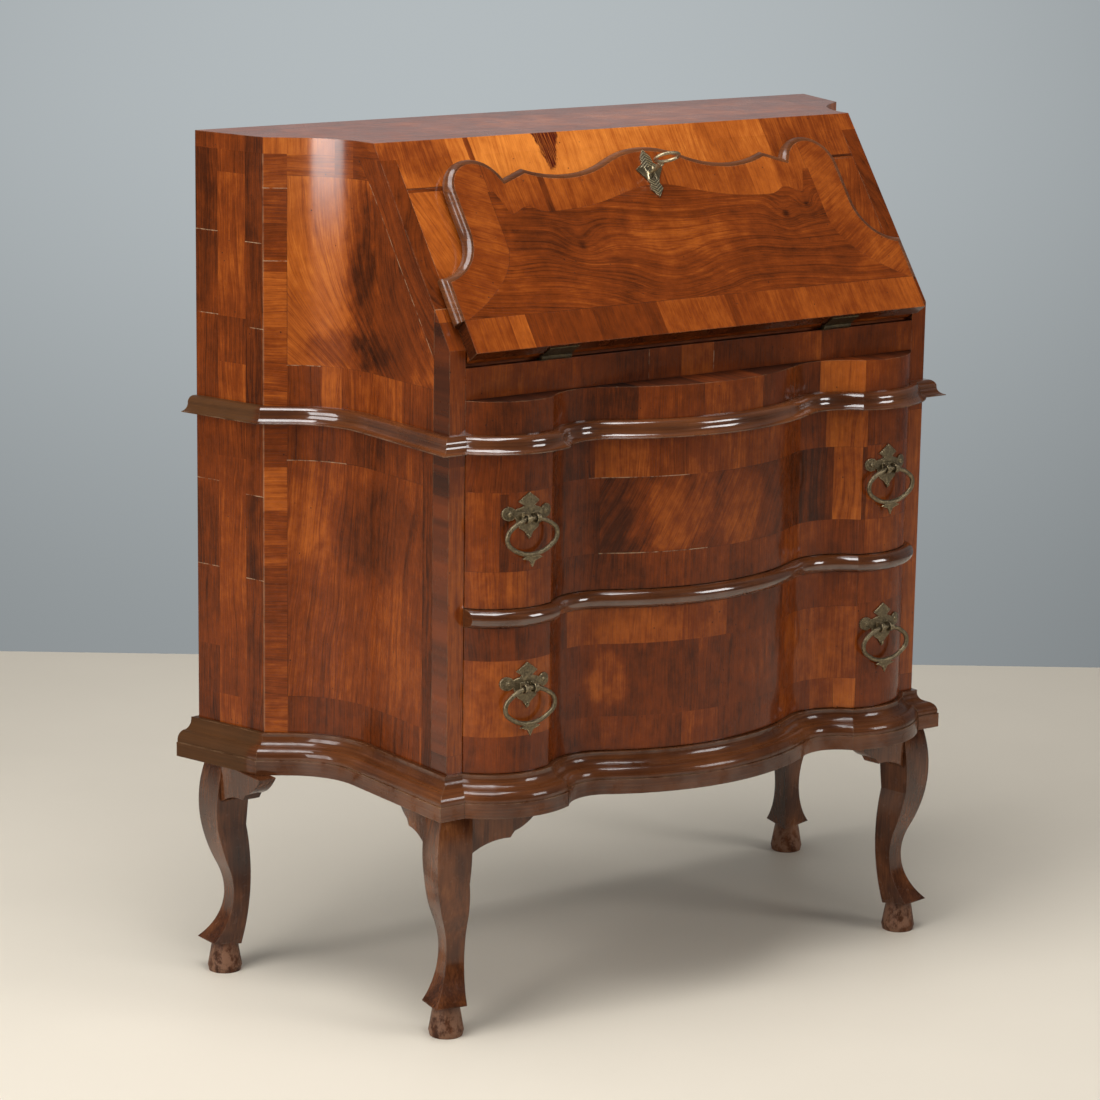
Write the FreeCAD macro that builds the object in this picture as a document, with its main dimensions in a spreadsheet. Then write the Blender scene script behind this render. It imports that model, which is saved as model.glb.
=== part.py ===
import FreeCAD, Part
import math
import os
from types import SimpleNamespace

import Sketcher
from FreeCAD import Placement, Rotation, Vector

# Fall-front writing cabinet with a serpentine case on cabriole legs.
# Millimetres. X to the right, Y to the back, Z up, origin on the floor under the middle of the base.

SIZES = {
    # Courses from the floor upwards
    "leg_height": 257,
    "base_height": 44,
    "lower_drawer_height": 166,
    "divider_height": 20,
    "upper_drawer_height": 173,
    "waist_height": 20,
    "frieze_height": 37,
    "rail_height": 35,
    "slant_rise": 20.3,
    "slant_margin": 32.5,
    "slant_degrees": 54.07,
    # Outline of the case in plan, depths measured from its back
    "back_half_width": 441.5,
    "flank_splay": 28.5,
    "arris_depth": 97.5,
    "front_inset": 102.5,
    "sweep_degrees": 55,
    "sweep_radius": 110,
    "post_depth": 357,
    "lobe_inset": 86.6,
    "lobe_setback": 45.5,
    "lobe_radius": 80,
    "cove_inset": 84.4,
    "cove_radius": 72,
    "cove_rise": 76.5,
    "bulge_rise": 50,
    # Boards of the case
    "post_length": 30,
    "top_thickness": 18,
    "back_thickness": 8,
    "rail_thickness": 22,
    "rail_width": 67,
    "front_thickness": 18,
    "bed_thickness": 16,
    "bed_rise": 8.5,
    "bed_setback": 9,
    # Base
    "base_offset": 24,
    "base_overhang": 6,
    "base_fascia": 16.7,
    "base_quirk": 1.5,
    "base_ovolo_offset": 15,
    "base_ovolo_rise": 13.3,
    "base_fillet": 2,
    "base_cavetto_offset": 5,
    "base_ledge": 1,
    "base_back_rail": 60,
    "base_rail_width": 62,
    "base_rail_inset": 49,
    "bottom_thickness": 8,
    # Waist and divider mouldings
    "waist_hump_offset": 11.5,
    "waist_hump_flat": 4,
    "waist_hump_drop": 7.5,
    "waist_tip_offset": 19.5,
    "waist_tip_height": 3,
    "waist_tip_edge": 1,
    "divider_offset": 11,
    # Drawers
    "front_clearance": 0.8,
    "drawer_box_inset": 6,
    "drawer_side": 12,
    "drawer_back": 12,
    "drawer_bottom": 6,
    "drawer_bottom_lift": 6,
    "drawer_back_depth": 24,
    "drawer_top_drop": 14,
    "runner_thickness": 12,
    "runner_inset": 28.2,
    "guide_gap": 0.3,
    "guide_height": 14,
    # Legs
    "front_leg_inset": 5,
    "front_leg_setback": 3.4,
    "back_leg_inset": 15.8,
    "back_leg_depth": 29,
    "knee_reach": 21.5,
    "knee_share": 0.798,
    "ankle_reach": 0.5,
    "ankle_share": 0.377,
    "ankle_radius": 88,
    "toe_height": 38,
    "front_leg_turn_degrees": 10,
    "crown_inner": 23,
    "calf_inner": 18.5,
    "calf_share": 0.693,
    "ankle_inner": 21.7,
    "heel_inner": 14,
    "heel_height": 32,
    "hoof_top_radius": 14.5,
    "hoof_radius": 20,
    "hoof_rim": 6,
    "hoof_bevel": 1.5,
    "ear_length": 82,
    "ear_height": 46,
    "ear_thickness": 22,
    "ear_reach": 16.5,
    "ear_step_length": 46,
    "ear_step_rise": 14,
    "ear_step": 7,
    "ear_step_run": 5,
    "ear_sag": 3.5,
    "ear_swell": 2.5,
    # Slanted frame and fall
    "frame_thickness": 18,
    "header_drop": 27,
    "opening_drop": 41,
    "opening_inset": 73,
    "opening_foot": 28,
    "lock_notch_half": 42,
    "lock_notch_drop": 18,
    "fall_gap": 1.5,
    "overlay_gap": 0.3,
    "overlay_height": 17,
    "overlay_inset": 20.5,
    "bead_width": 8.5,
    "bead_foot": 26,
    "scoop_inset": 9,
    "scoop_drop": 91,
    "scoop_radius": 52,
    "lobe_top_inset": 102,
    "lobe_top_drop": 42,
    "lobe_top_radius": 41,
    "lobe_top_degrees": 150,
    "cusp_inset": 140.5,
    "cusp_drop": 27,
    "tip_inset": 169,
    "valley_share": 0.688,
    "valley_drop": 27.2,
    "valley_round_share": 1.197,
    "fall_height": 224,
    "tongue_clearance": 2.2,
    "tongue_foot_height": 26,
    # Fall hinge
    "axis_ahead": 2,
    "axis_below_bed": 5,
    "tongue_lift": 4,
    "overlay_lift": 1.4,
    "hinge_share": 0.59,
    "hinge_length": 40,
    "hinge_barrel": 2.8,
    "hinge_pin": 1.2,
    "hinge_play": 0.05,
    "hinge_end_play": 0.2,
    "hinge_leaf": 1.3,
    "hinge_leaf_width": 12,
    # Lock, key and escutcheon
    "key_drop": 38,
    "lock_half_width": 28,
    "lock_length": 40,
    "lock_thickness": 11,
    "bolt_half_width": 11,
    "bolt_thickness": 6,
    "bolt_length": 20,
    "bolt_travel": 8,
    "bolt_play": 0.3,
    "key_radius": 2.2,
    "key_reach": 24,
    "bow_half_width": 16,
    "bow_half_height": 10,
    "bow_end_radius": 7,
    "bow_wire": 1.8,
    "collar_radius": 3.6,
    "collar_length": 3,
    "escutcheon_thickness": 2,
    "escutcheon_half_width": 18.4,
    "escutcheon_half_height": 30.5,
    "escutcheon_rim": 4.6,
    "escutcheon_rim_height": 1.2,
    "keyhole_half_width": 1.1,
    "keyhole_drop": 8,
    # Stays
    "stay_radius": 120,
    "stay_lag_degrees": 6.07,
    "stud_lag_degrees": 7,
    "stay_inset": 8.5,
    "stay_thickness": 3,
    "stay_width": 11,
    "stay_pin": 2.4,
    "stay_play": 0.35,
    "stay_lug": 5,
    "stay_lug_half": 6.5,
    "stay_cap": 1.4,
    "slit_play": 4,
    # Inside the writing space
    "cheek_setback": 2,
    "cheek_thickness": 10,
    "gallery_depth": 140,
    "gallery_board": 8,
    "gallery_inset": 11.5,
    "niche_share": 0.373,
    "gallery_height": 66,
    "inner_clearance": 0.6,
    "inner_board": 7,
    "knob_radius": 6,
    "knob_neck": 3,
    "knob_length": 12,
    # Drawer pulls
    "pull_outset": 4.6,
    "pull_share": 0.587,
    "plate_thickness": 2,
    "plate_top": 28,
    "plate_barb_x": 13.5,
    "plate_barb_height": 18,
    "plate_neck_x": 6,
    "plate_neck_height": 13,
    "plate_arm_x": 23.5,
    "plate_arm_height": 5,
    "plate_arm_radius": 7.6,
    "plate_arm_half": 4,
    "plate_tail": 24,
    "plate_tail_x": 11.7,
    "plate_tail_height": 11.5,
    "plate_waist_x": 5,
    "plate_waist_height": 16,
    "nail_radius": 2.4,
    "nail_height": 1.8,
    "ring_half_width": 33.4,
    "ring_half_height": 20,
    "ring_end_radius": 12,
    "ring_wire": 2.6,
    "staple_wall": 1.5,
    "staple_play": 1.4,
    "staple_half_length": 9,
    "staple_slot": 4,
    "finial_length": 11.5,
    "finial_half_width": 13.6,
    "finial_waist": 3.5,
    "finial_barb_drop": 1,
    "finial_thickness": 2.4,
    # Allowance that carries every cutting tool past the stock
    "overrun": 60,
}

# Levels of the courses, as expressions on the sheet
COURSES = [
    "leg_height", "base_height", "lower_drawer_height", "divider_height", "upper_drawer_height",
    "waist_height", "frieze_height", "rail_height", "slant_rise",
]
level_text = {}
for count, course in enumerate(COURSES, start=1):
    level_text[course] = "(" + " + ".join("Sizes." + name for name in COURSES[:count]) + ")"

# Sizes that follow from the driving ones
WORKED = {
    # The slant, and the height of the whole case
    "slope_length": "Sizes.fall_height + Sizes.slant_margin",
    "slant_height": "slope_length * sin(Sizes.slant_degrees)",
    "total_height": f"{level_text['slant_rise']} + slant_height",
    # Outline of the case in plan
    "arris_half_width": "Sizes.back_half_width - Sizes.flank_splay",
    "front_half_width": "Sizes.back_half_width - Sizes.front_inset",
    "lobe_centre_x": "front_half_width - Sizes.lobe_inset",
    "lobe_centre_depth": "Sizes.post_depth - Sizes.lobe_setback",
    "kink_half_width": "lobe_centre_x + sqrt(Sizes.lobe_radius^2 - Sizes.lobe_setback^2)",
    "side_thickness": "front_half_width - kink_half_width",
    "cove_centre_x": "lobe_centre_x - Sizes.cove_inset",
    "cove_ahead": "Sizes.cove_rise - Sizes.bulge_rise",
    "bulge_depth": "Sizes.post_depth + Sizes.bulge_rise",
    "bulge_radius": "(cove_centre_x^2 + cove_ahead^2 - Sizes.cove_radius^2)"
                    " / (2 * (Sizes.cove_radius - cove_ahead))",
    "back_plane": "(bulge_depth + Sizes.base_offset - Sizes.base_overhang) / 2",
    # Boards, runners and legs
    "rail_back_depth": "Sizes.post_depth - Sizes.rail_width",
    "front_back_depth": "Sizes.post_depth - Sizes.front_thickness",
    "bed_front_depth": "Sizes.post_depth - Sizes.bed_setback",
    "base_front_rail_depth": "Sizes.post_depth - Sizes.base_rail_width",
    "base_side_rail_x": "front_half_width - Sizes.base_rail_inset",
    "runner_inner_x": "kink_half_width - Sizes.runner_inset",
    "front_leg_x": "front_half_width - Sizes.front_leg_inset",
    "front_leg_depth": "Sizes.post_depth - Sizes.front_leg_setback",
    "back_leg_x": "Sizes.back_half_width - Sizes.back_leg_inset",
    "knee_height": "Sizes.knee_share * Sizes.leg_height",
    "ankle_height": "Sizes.ankle_share * Sizes.leg_height",
    "calf_height": "Sizes.calf_share * Sizes.leg_height",
    # Pulls on the lobes
    "pull_x": "lobe_centre_x + Sizes.pull_outset",
    "pull_lower_height": "Sizes.pull_share * Sizes.lower_drawer_height",
    "pull_upper_height": "Sizes.pull_share * Sizes.upper_drawer_height",
    # Slanted frame and fall
    "header_foot": "Sizes.fall_height - Sizes.header_drop",
    "opening_top": "Sizes.fall_height - Sizes.opening_drop",
    "opening_half_width": "front_half_width - Sizes.opening_inset",
    "lock_notch_top": "Sizes.fall_height - Sizes.lock_notch_drop",
    "overlay_half_width": "front_half_width - Sizes.overlay_inset",
    "scoop_x": "front_half_width - Sizes.scoop_inset",
    "scoop_height": "Sizes.fall_height - Sizes.scoop_drop",
    "lobe_top_x": "front_half_width - Sizes.lobe_top_inset",
    "lobe_top_height": "Sizes.fall_height - Sizes.lobe_top_drop",
    "cusp_x": "front_half_width - Sizes.cusp_inset",
    "cusp_height": "Sizes.fall_height - Sizes.cusp_drop",
    "tip_x": "front_half_width - Sizes.tip_inset",
    "valley_x": "Sizes.valley_share * tip_x",
    "valley_height": "Sizes.fall_height - Sizes.valley_drop",
    "valley_radius": "Sizes.valley_round_share * valley_x",
    "tongue_half_foot": "kink_half_width - Sizes.tongue_clearance",
    "hinge_x": "Sizes.hinge_share * front_half_width",
    "key_height": "Sizes.fall_height - Sizes.key_drop",
    # Stays and writing space
    "stay_pivot_degrees": "Sizes.slant_degrees - Sizes.stay_lag_degrees",
    "stay_stud_degrees": "stay_pivot_degrees - Sizes.stud_lag_degrees",
    "cheek_inner_x": "opening_half_width + Sizes.cheek_setback",
    "stay_x": "cheek_inner_x - Sizes.stay_inset",
    "gallery_end_x": "stay_x - Sizes.gallery_inset",
    "gallery_niche_x": "Sizes.niche_share * gallery_end_x",
}

doc = FreeCAD.newDocument("fall_front_cabinet")
sheet = doc.addObject("Spreadsheet::Sheet", "Sizes")
for row, (name, value) in enumerate(SIZES.items(), start=1):
    sheet.set(f"A{row}", name)
    sheet.set(f"B{row}", str(value))
    sheet.setAlias(f"B{row}", name)
doc.recompute()
worked = doc.addObject("Spreadsheet::Sheet", "Worked")
for row, (name, formula) in enumerate(WORKED.items(), start=1):
    worked.set(f"A{row}", name)
    worked.setAlias(f"B{row}", name)
    worked.set(f"B{row}", "=" + formula)
doc.recompute()
mm = SimpleNamespace(**{name: float(sheet.get(name)) for name in SIZES})
for name in WORKED:
    setattr(mm, name, float(worked.get(name)))
level = {course: float(sheet.evalExpression(text)) for course, text in level_text.items()}

nodes = []

# Back of the case, so that the base's outline is centred on the origin
back = mm.back_plane
BACK = "Worked.back_plane"
KINK = "Worked.kink_half_width"
kink_x = mm.kink_half_width
POST_BACK = "(Sizes.post_depth - Sizes.post_length)"
BED_TOP = f"({level_text['rail_height']} + Sizes.bed_rise)"
TOP_UNDERSIDE = "(Worked.total_height - Sizes.top_thickness)"
bed_top = level["rail_height"] + mm.bed_rise
top_underside = mm.total_height - mm.top_thickness


def depth(expression):
    """Y of a depth behind the case's back plane, as an expression."""
    return f"({BACK} - ({expression}))"


def keep(label, item):
    """Registers a finished piece under its node name."""
    item.Label = label
    nodes.append(item)
    return item


def shaped(name, shape, place=None):
    item = doc.addObject("Part::Feature", name)
    item.Shape = shape
    if place:
        item.Placement = place.multiply(shape.Placement)
    return item


def block(name, x, y, z):
    """A box between bound corners, each given as a pair of expressions."""
    item = doc.addObject("Part::Box", name)
    for size, axis, (low, high) in (("Length", "x", x), ("Width", "y", y), ("Height", "z", z)):
        item.setExpression(size, f"({high}) - ({low})")
        item.setExpression(f"Placement.Base.{axis}", low)
    return item


def joined(kind, name, base, tool):
    item = doc.addObject(f"Part::{kind}", name)
    item.Base = base
    item.Tool = tool
    return item


def group(name, items):
    item = doc.addObject("Part::Compound", name)
    item.Links = items
    return item


def sided(side, low, high):
    """A span on the right (1) or mirrored to the left (-1)."""
    return (low, high) if side > 0 else (f"-({high})", f"-({low})")


SIDES = {"left": -1, "right": 1}

# Plane paths of lines and arcs. Travelling along a path, its outer face is on the left hand.


def left_of(direction):
    return Vector(-direction.y, direction.x, 0)


def line(start, end):
    return SimpleNamespace(kind="line", start=start, end=end)


def arc(centre, radius, first, last):
    """An arc between two angles in degrees; a falling angle bulges outwards, a rising one hollows."""
    return SimpleNamespace(
        kind="arc", centre=centre, radius=radius, first=first, last=last,
        start=polar(centre, radius, first), end=polar(centre, radius, last),
    )


def polar(centre, radius, degrees):
    angle = math.radians(degrees)
    return centre + Vector(math.cos(angle), math.sin(angle), 0) * radius


def bearing(centre, point):
    return math.degrees(math.atan2(point.y - centre.y, point.x - centre.x))


def arc_to(centre, start, end, turn):
    """An arc about a centre from one point to another, turning left (1) or right (-1)."""
    first = bearing(centre, start)
    last = bearing(centre, end)
    while turn * (last - first) < 0:
        last += turn * 360
    return arc(centre, (start - centre).Length, first, last)


def arc_through(start, middle, end):
    """An arc through three points."""
    centre = Part.Arc(start, middle, end).toShape().Curve.Center
    turn = 1 if (middle - start).cross(end - middle).z > 0 else -1
    return arc_to(Vector(centre.x, centre.y, 0), start, end, turn)


def heading(piece, at_end):
    """Direction of travel at one end of a path piece."""
    if piece.kind == "line":
        return (piece.end - piece.start).normalize()
    angle = piece.last if at_end else piece.first
    turn = 1 if piece.last > piece.first else -1
    radial = polar(Vector(), 1, angle)
    return left_of(radial) * turn


def mirrored(path):
    """The same path on the other side of X = 0, travelled the same way round."""
    flipped = []
    for piece in reversed(path):
        if piece.kind == "line":
            start = Vector(-piece.end.x, piece.end.y, 0)
            flipped.append(line(start, Vector(-piece.start.x, piece.start.y, 0)))
        else:
            centre = Vector(-piece.centre.x, piece.centre.y, 0)
            flipped.append(arc(centre, piece.radius, 180 - piece.last, 180 - piece.first))
    return flipped


def edges_of(path):
    edges = []
    for piece in path:
        if piece.kind == "line":
            edges.append(Part.LineSegment(piece.start, piece.end).toShape())
        else:
            middle = polar(piece.centre, piece.radius, (piece.first + piece.last) / 2)
            edges.append(Part.Arc(piece.start, middle, piece.end).toShape())
    return edges


def face_of(path):
    """The face inside a path, closed by a straight line."""
    edges = edges_of(path)
    if not path[-1].end.isEqual(path[0].start, mm.hinge_play):
        edges.append(Part.LineSegment(path[-1].end, path[0].start).toShape())
    return Part.Face(Part.Wire(edges))


def profile_face(profile, point, outward):
    """A moulding's section: (offset, height) points, with (middle, end) pairs of points for arcs."""

    def place(spot):
        return point + outward * spot[0] + Vector(0, 0, spot[1])

    edges = []
    here = profile[0]
    for step in profile[1:] + profile[:1]:
        if isinstance(step[0], tuple):
            edges.append(Part.Arc(place(here), place(step[0]), place(step[1])).toShape())
            here = step[1]
        else:
            edges.append(Part.LineSegment(place(here), place(step)).toShape())
            here = step
    return Part.Face(Part.Wire(edges))


def trimmed(solid, point, forward, reach):
    """Cuts away what lies ahead of a point, square to a direction."""
    cutter = Part.makeBox(reach, 2 * reach, 4 * mm.total_height)
    cutter.translate(Vector(0, -reach, -2 * mm.total_height))
    cutter.rotate(Vector(), Vector(0, 0, 1), bearing(Vector(), forward))
    cutter.translate(point)
    return solid.cut(cutter)


def mitre(piece, following):
    """Direction of the cut between two pieces of a path, or nothing where they run on smoothly."""
    smooth_share = 0.9999
    if heading(piece, True).dot(heading(following, False)) > smooth_share:
        return None
    return heading(piece, True) + heading(following, False)


def moulding(path, profile, reach, end_cut=None):
    """Lengths of one section along a path: smooth runs are fused, sharp corners are mitred."""
    runs = []
    for index, piece in enumerate(path):
        start_cut = mitre(path[index - 1], piece) if index else end_cut
        stop_cut = mitre(piece, path[index + 1]) if index + 1 < len(path) else end_cut
        if piece.kind == "line":
            along = heading(piece, False)
            start = piece.start - along * (reach if start_cut else 0)
            end = piece.end + along * (reach if stop_cut else 0)
            solid = profile_face(profile, start, left_of(along)).extrude(end - start)
        else:
            turn = 1 if piece.last > piece.first else -1
            spare = turn * math.degrees(reach / piece.radius) / 2
            first = piece.first - (spare if start_cut else 0)
            last = piece.last + (spare if stop_cut else 0)
            outward = polar(Vector(), 1, first) * -turn
            section = profile_face(profile, polar(piece.centre, piece.radius, first), outward)
            solid = section.revolve(piece.centre, Vector(0, 0, 1), last - first)
        if start_cut:
            backwards = -1 if index else 1
            solid = trimmed(solid, piece.start, start_cut * backwards, 2 * reach)
        if stop_cut:
            solid = trimmed(solid, piece.end, stop_cut, 2 * reach)
        if runs and not start_cut:
            runs[-1] = runs[-1].fuse(solid)
        else:
            runs.append(solid)
    return Part.makeCompound([run.removeSplitter().Solids[0] for run in runs])


# Outline of the case


def meeting(point, along, other, across):
    """Where two lines in plan cross."""
    step = other - point
    return point + along * (step.cross(across).z / along.cross(across).z)


def crossing(first_centre, first_radius, second_centre, second_radius):
    """The front crossing of two circles in plan."""
    span = second_centre - first_centre
    reach = (first_radius ** 2 - second_radius ** 2 + span.Length ** 2) / (2 * span.Length)
    rise = math.sqrt(first_radius ** 2 - reach ** 2)
    along = span.normalize()
    foot = first_centre + along * reach
    return min(foot + left_of(along) * rise, foot - left_of(along) * rise, key=lambda p: p.y)


flank = Vector(mm.arris_half_width - mm.back_half_width, -mm.arris_depth, 0).normalize()
sweep = polar(Vector(), 1, -90 - mm.sweep_degrees)
ahead = Vector(0, -1, 0)
rearwards = Vector(0, 1, 0)
inwards = Vector(-1, 0, 0)
lobe_centre = Vector(mm.lobe_centre_x, back - mm.lobe_centre_depth, 0)
bulge_centre = Vector(0, back - mm.bulge_depth + mm.bulge_radius, 0)
cove_drop = math.sqrt((mm.bulge_radius + mm.cove_radius) ** 2 - mm.cove_centre_x ** 2)
cove_centre = Vector(mm.cove_centre_x, bulge_centre.y - cove_drop, 0)


def side_path(offset, rear):
    """The right side from the back to the front corner."""
    corner = Vector(mm.back_half_width, back, 0)
    arris = Vector(mm.arris_half_width, back - mm.arris_depth, 0)
    front = Vector(mm.front_half_width, back, 0) + Vector(offset, 0, 0)
    flank_line = corner + left_of(flank) * offset
    sweep_line = arris + left_of(sweep) * offset
    rear_point = meeting(flank_line, flank, Vector(0, back + rear, 0), inwards)
    arris_point = meeting(flank_line, flank, sweep_line, sweep)
    bare_bend = meeting(arris, sweep, Vector(mm.front_half_width, back, 0), ahead)
    tangent = mm.sweep_radius * math.tan(math.radians(mm.sweep_degrees) / 2)
    centre = bare_bend + ahead * tangent + Vector(mm.sweep_radius, 0, 0)
    bend = arc(centre, mm.sweep_radius - offset, 180 - mm.sweep_degrees, 180)
    corner_point = Vector(front.x, back - mm.post_depth - offset, 0)
    return [line(rear_point, arris_point), line(arris_point, bend.start), bend, line(bend.end, corner_point)]


def front_path(offset):
    """The right half of the front, from the corner to the middle of the bulge."""
    face_y = back - mm.post_depth - offset
    lobe_radius = mm.lobe_radius + offset
    corner = Vector(mm.front_half_width + offset, face_y, 0)
    kink = Vector(lobe_centre.x + math.sqrt(lobe_radius ** 2 - (face_y - lobe_centre.y) ** 2), face_y, 0)
    arris = crossing(lobe_centre, lobe_radius, cove_centre, mm.cove_radius - offset)
    joint = bearing(bulge_centre, cove_centre)
    cove_end = polar(bulge_centre, mm.bulge_radius + offset, joint)
    return [
        line(corner, kink),
        arc_to(lobe_centre, kink, arris, -1),
        arc_to(cove_centre, arris, cove_end, 1),
        arc(bulge_centre, mm.bulge_radius + offset, joint, -180 - joint),
    ]


def whole_path(offset, rear):
    side = side_path(offset, rear)
    front = front_path(offset)
    return side + front + mirrored(front[:-1]) + mirrored(side)


def between_posts(path):
    """The part of the front between the corner posts, with its two lobes cut short there."""
    return path[1:] + mirrored(path[1:-1])


full_height = Vector(0, 0, mm.total_height)
outline = shaped("case_outline", face_of(whole_path(0, mm.base_overhang)).extrude(full_height))
hollow = shaped("case_hollow", face_of(whole_path(-mm.side_thickness, 0)).extrude(full_height))

# The slant: X across, Y up the slope and Z out of it, from its foot at the posts' front
slant = Placement(
    Vector(0, back - mm.post_depth, level["slant_rise"]), Rotation(Vector(1, 0, 0), mm.slant_degrees))
SLANT_TOP = "(Worked.slope_length * (Worked.slant_height - Sizes.top_thickness) / Worked.slant_height)"


def on_slant(point):
    """Slope coordinates of a point of the side view."""
    return slant.inverse().multVec(point)


def slant_tool(name, height):
    """Everything in front of a plane parallel to the slant."""
    span = mm.total_height
    tool = Part.makeBox(2 * span, 2 * span, span)
    tool.translate(Vector(-span, -span, height))
    return shaped(name, tool, slant)


slant_front = slant_tool("slant_front", 0)
slant_inner = slant_tool("slant_inner", -mm.frame_thickness)

REACH = "(Sizes.back_half_width + Sizes.overrun)"
WIDE = (f"-{REACH}", REACH)
FRONT_SPAN = (f"-{KINK}", KINK)


def front_board(name, z, back_depth, half_width=KINK):
    """A board whose front follows the serpentine between the posts, with a flat back."""
    y = (depth("Worked.bulge_depth + Sizes.overrun"), depth(back_depth))
    stock = block(name + "_stock", (f"-({half_width})", half_width), y, z)
    return joined("Common", name, outline, stock)


def span(low, high):
    return (level_text[low], level_text[high])


# Case sides, corner posts, top and back
for name, side in SIDES.items():
    y = (depth(POST_BACK), depth("0"))
    z = (level_text["base_height"], TOP_UNDERSIDE)
    stock = block(f"side_stock_{name}", sided(side, "0", REACH), y, z)
    wall = joined("Cut", f"side_wall_{name}", joined("Common", f"side_mass_{name}", outline, stock), hollow)
    keep(f"side_{name}", joined("Cut", f"side_{name}", wall, slant_front))
    post = block(
        f"post_stock_{name}", sided(side, KINK, "Worked.front_half_width"),
        (depth("Sizes.post_depth"), depth(POST_BACK)), z)
    keep(f"corner_post_{name}", joined("Cut", f"corner_post_{name}", post, slant_front))

top_stock = block(
    "top_stock", WIDE, (depth("Sizes.post_depth"), depth("0")), (TOP_UNDERSIDE, "Worked.total_height"))
top_mass = joined("Common", "top_mass", outline, top_stock)
keep("top_board", joined("Cut", "top_board", top_mass, slant_front))
back_stock = block(
    "back_stock", WIDE, (depth("Sizes.back_thickness"), depth("0")),
    (level_text["base_height"], TOP_UNDERSIDE))
keep("back_panel", joined("Common", "back_panel", hollow, back_stock))

# Rails across the front, frieze and writing bed
keep("divider_rail", front_board("divider_rail", span("lower_drawer_height", "divider_height"),
                                 "Worked.rail_back_depth"))
keep("waist_rail", front_board("waist_rail", span("upper_drawer_height", "waist_height"),
                               "Worked.rail_back_depth"))
keep("frieze", front_board("frieze", span("waist_height", "frieze_height"), "Worked.front_back_depth"))
keep("fall_rail", block(
    "fall_rail", FRONT_SPAN, (depth("Sizes.post_depth"), depth("Sizes.post_depth - Sizes.rail_thickness")),
    span("frieze_height", "rail_height")))

# Base: four rails, a thin bottom, and a moulding planted round three sides
base_z = span("leg_height", "base_height")
SIDE_RAIL_Y = (depth("Worked.base_front_rail_depth"), depth("Sizes.base_back_rail"))
base_stocks = [
    block("base_front_stock", WIDE, (depth("Worked.bulge_depth + Sizes.overrun"), SIDE_RAIL_Y[0]), base_z),
    block("base_back_stock", WIDE, (SIDE_RAIL_Y[1], depth("-Sizes.base_overhang")), base_z),
]
for name, side in SIDES.items():
    x = sided(side, "Worked.base_side_rail_x", REACH)
    base_stocks.append(block(f"base_side_stock_{name}", x, SIDE_RAIL_Y, base_z))
base_rails = [joined("Common", stock.Name + "_rail", outline, stock) for stock in base_stocks]
keep("base_frame", group("base_frame", base_rails))
keep("case_bottom", block(
    "case_bottom", ("-Worked.base_side_rail_x", "Worked.base_side_rail_x"), SIDE_RAIL_Y,
    (f"{level_text['base_height']} - Sizes.bottom_thickness", level_text["base_height"])))


def base_profile():
    foot = level["leg_height"]
    fascia = foot + mm.base_fascia
    ovolo_top = fascia + mm.base_ovolo_rise
    top = level["base_height"]
    shoulder = mm.base_offset - mm.base_quirk
    fillet = mm.base_ovolo_offset - mm.base_fillet
    ledge = top - mm.base_ledge
    bulge_share = 0.72
    hollow_share = 0.3
    return [
        (0, foot), (mm.base_offset, foot), (mm.base_offset, fascia), (shoulder, fascia),
        ((mm.base_ovolo_offset + bulge_share * (shoulder - mm.base_ovolo_offset),
          fascia + bulge_share * mm.base_ovolo_rise), (mm.base_ovolo_offset, ovolo_top)),
        (fillet, ovolo_top),
        ((mm.base_cavetto_offset + hollow_share * (fillet - mm.base_cavetto_offset),
          ovolo_top + hollow_share * (ledge - ovolo_top)), (mm.base_cavetto_offset, ledge)),
        (mm.base_cavetto_offset, top), (0, top),
    ]


def waist_profile():
    foot = level["upper_drawer_height"]
    top = level["waist_height"]
    hump_foot = top - mm.waist_hump_drop
    tip = foot + mm.waist_tip_height
    round_share = 0.7
    hollow_share = 0.3
    return [
        (0, foot), (mm.waist_tip_offset, tip - mm.waist_tip_edge), (mm.waist_tip_offset, tip),
        ((mm.waist_hump_offset + hollow_share * (mm.waist_tip_offset - mm.waist_hump_offset),
          tip + hollow_share * (hump_foot - tip)), (mm.waist_hump_offset, hump_foot)),
        ((mm.waist_hump_flat + round_share * (mm.waist_hump_offset - mm.waist_hump_flat),
          hump_foot + round_share * mm.waist_hump_drop), (mm.waist_hump_flat, top)),
        (0, top),
    ]


def divider_profile():
    foot = level["lower_drawer_height"]
    top = level["divider_height"]
    return [(0, foot), ((mm.divider_offset, (foot + top) / 2), (0, top))]


run_on = 2 * mm.base_offset
base_run = moulding(whole_path(0, mm.base_overhang), base_profile(), run_on, rearwards)
keep("base_moulding", shaped("base_moulding", base_run))
waist_run = moulding(whole_path(0, 0), waist_profile(), run_on, rearwards)
keep("waist_moulding", shaped("waist_moulding", waist_run))
divider_bead = moulding(between_posts(front_path(0)), divider_profile(), run_on)
post_gap = Part.makeBox(2 * kink_x, mm.total_height, mm.total_height)
post_gap.translate(Vector(-kink_x, -mm.total_height / 2, 0))
keep("divider_moulding", shaped("divider_moulding", divider_bead.common(post_gap)))


# Legs


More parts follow.
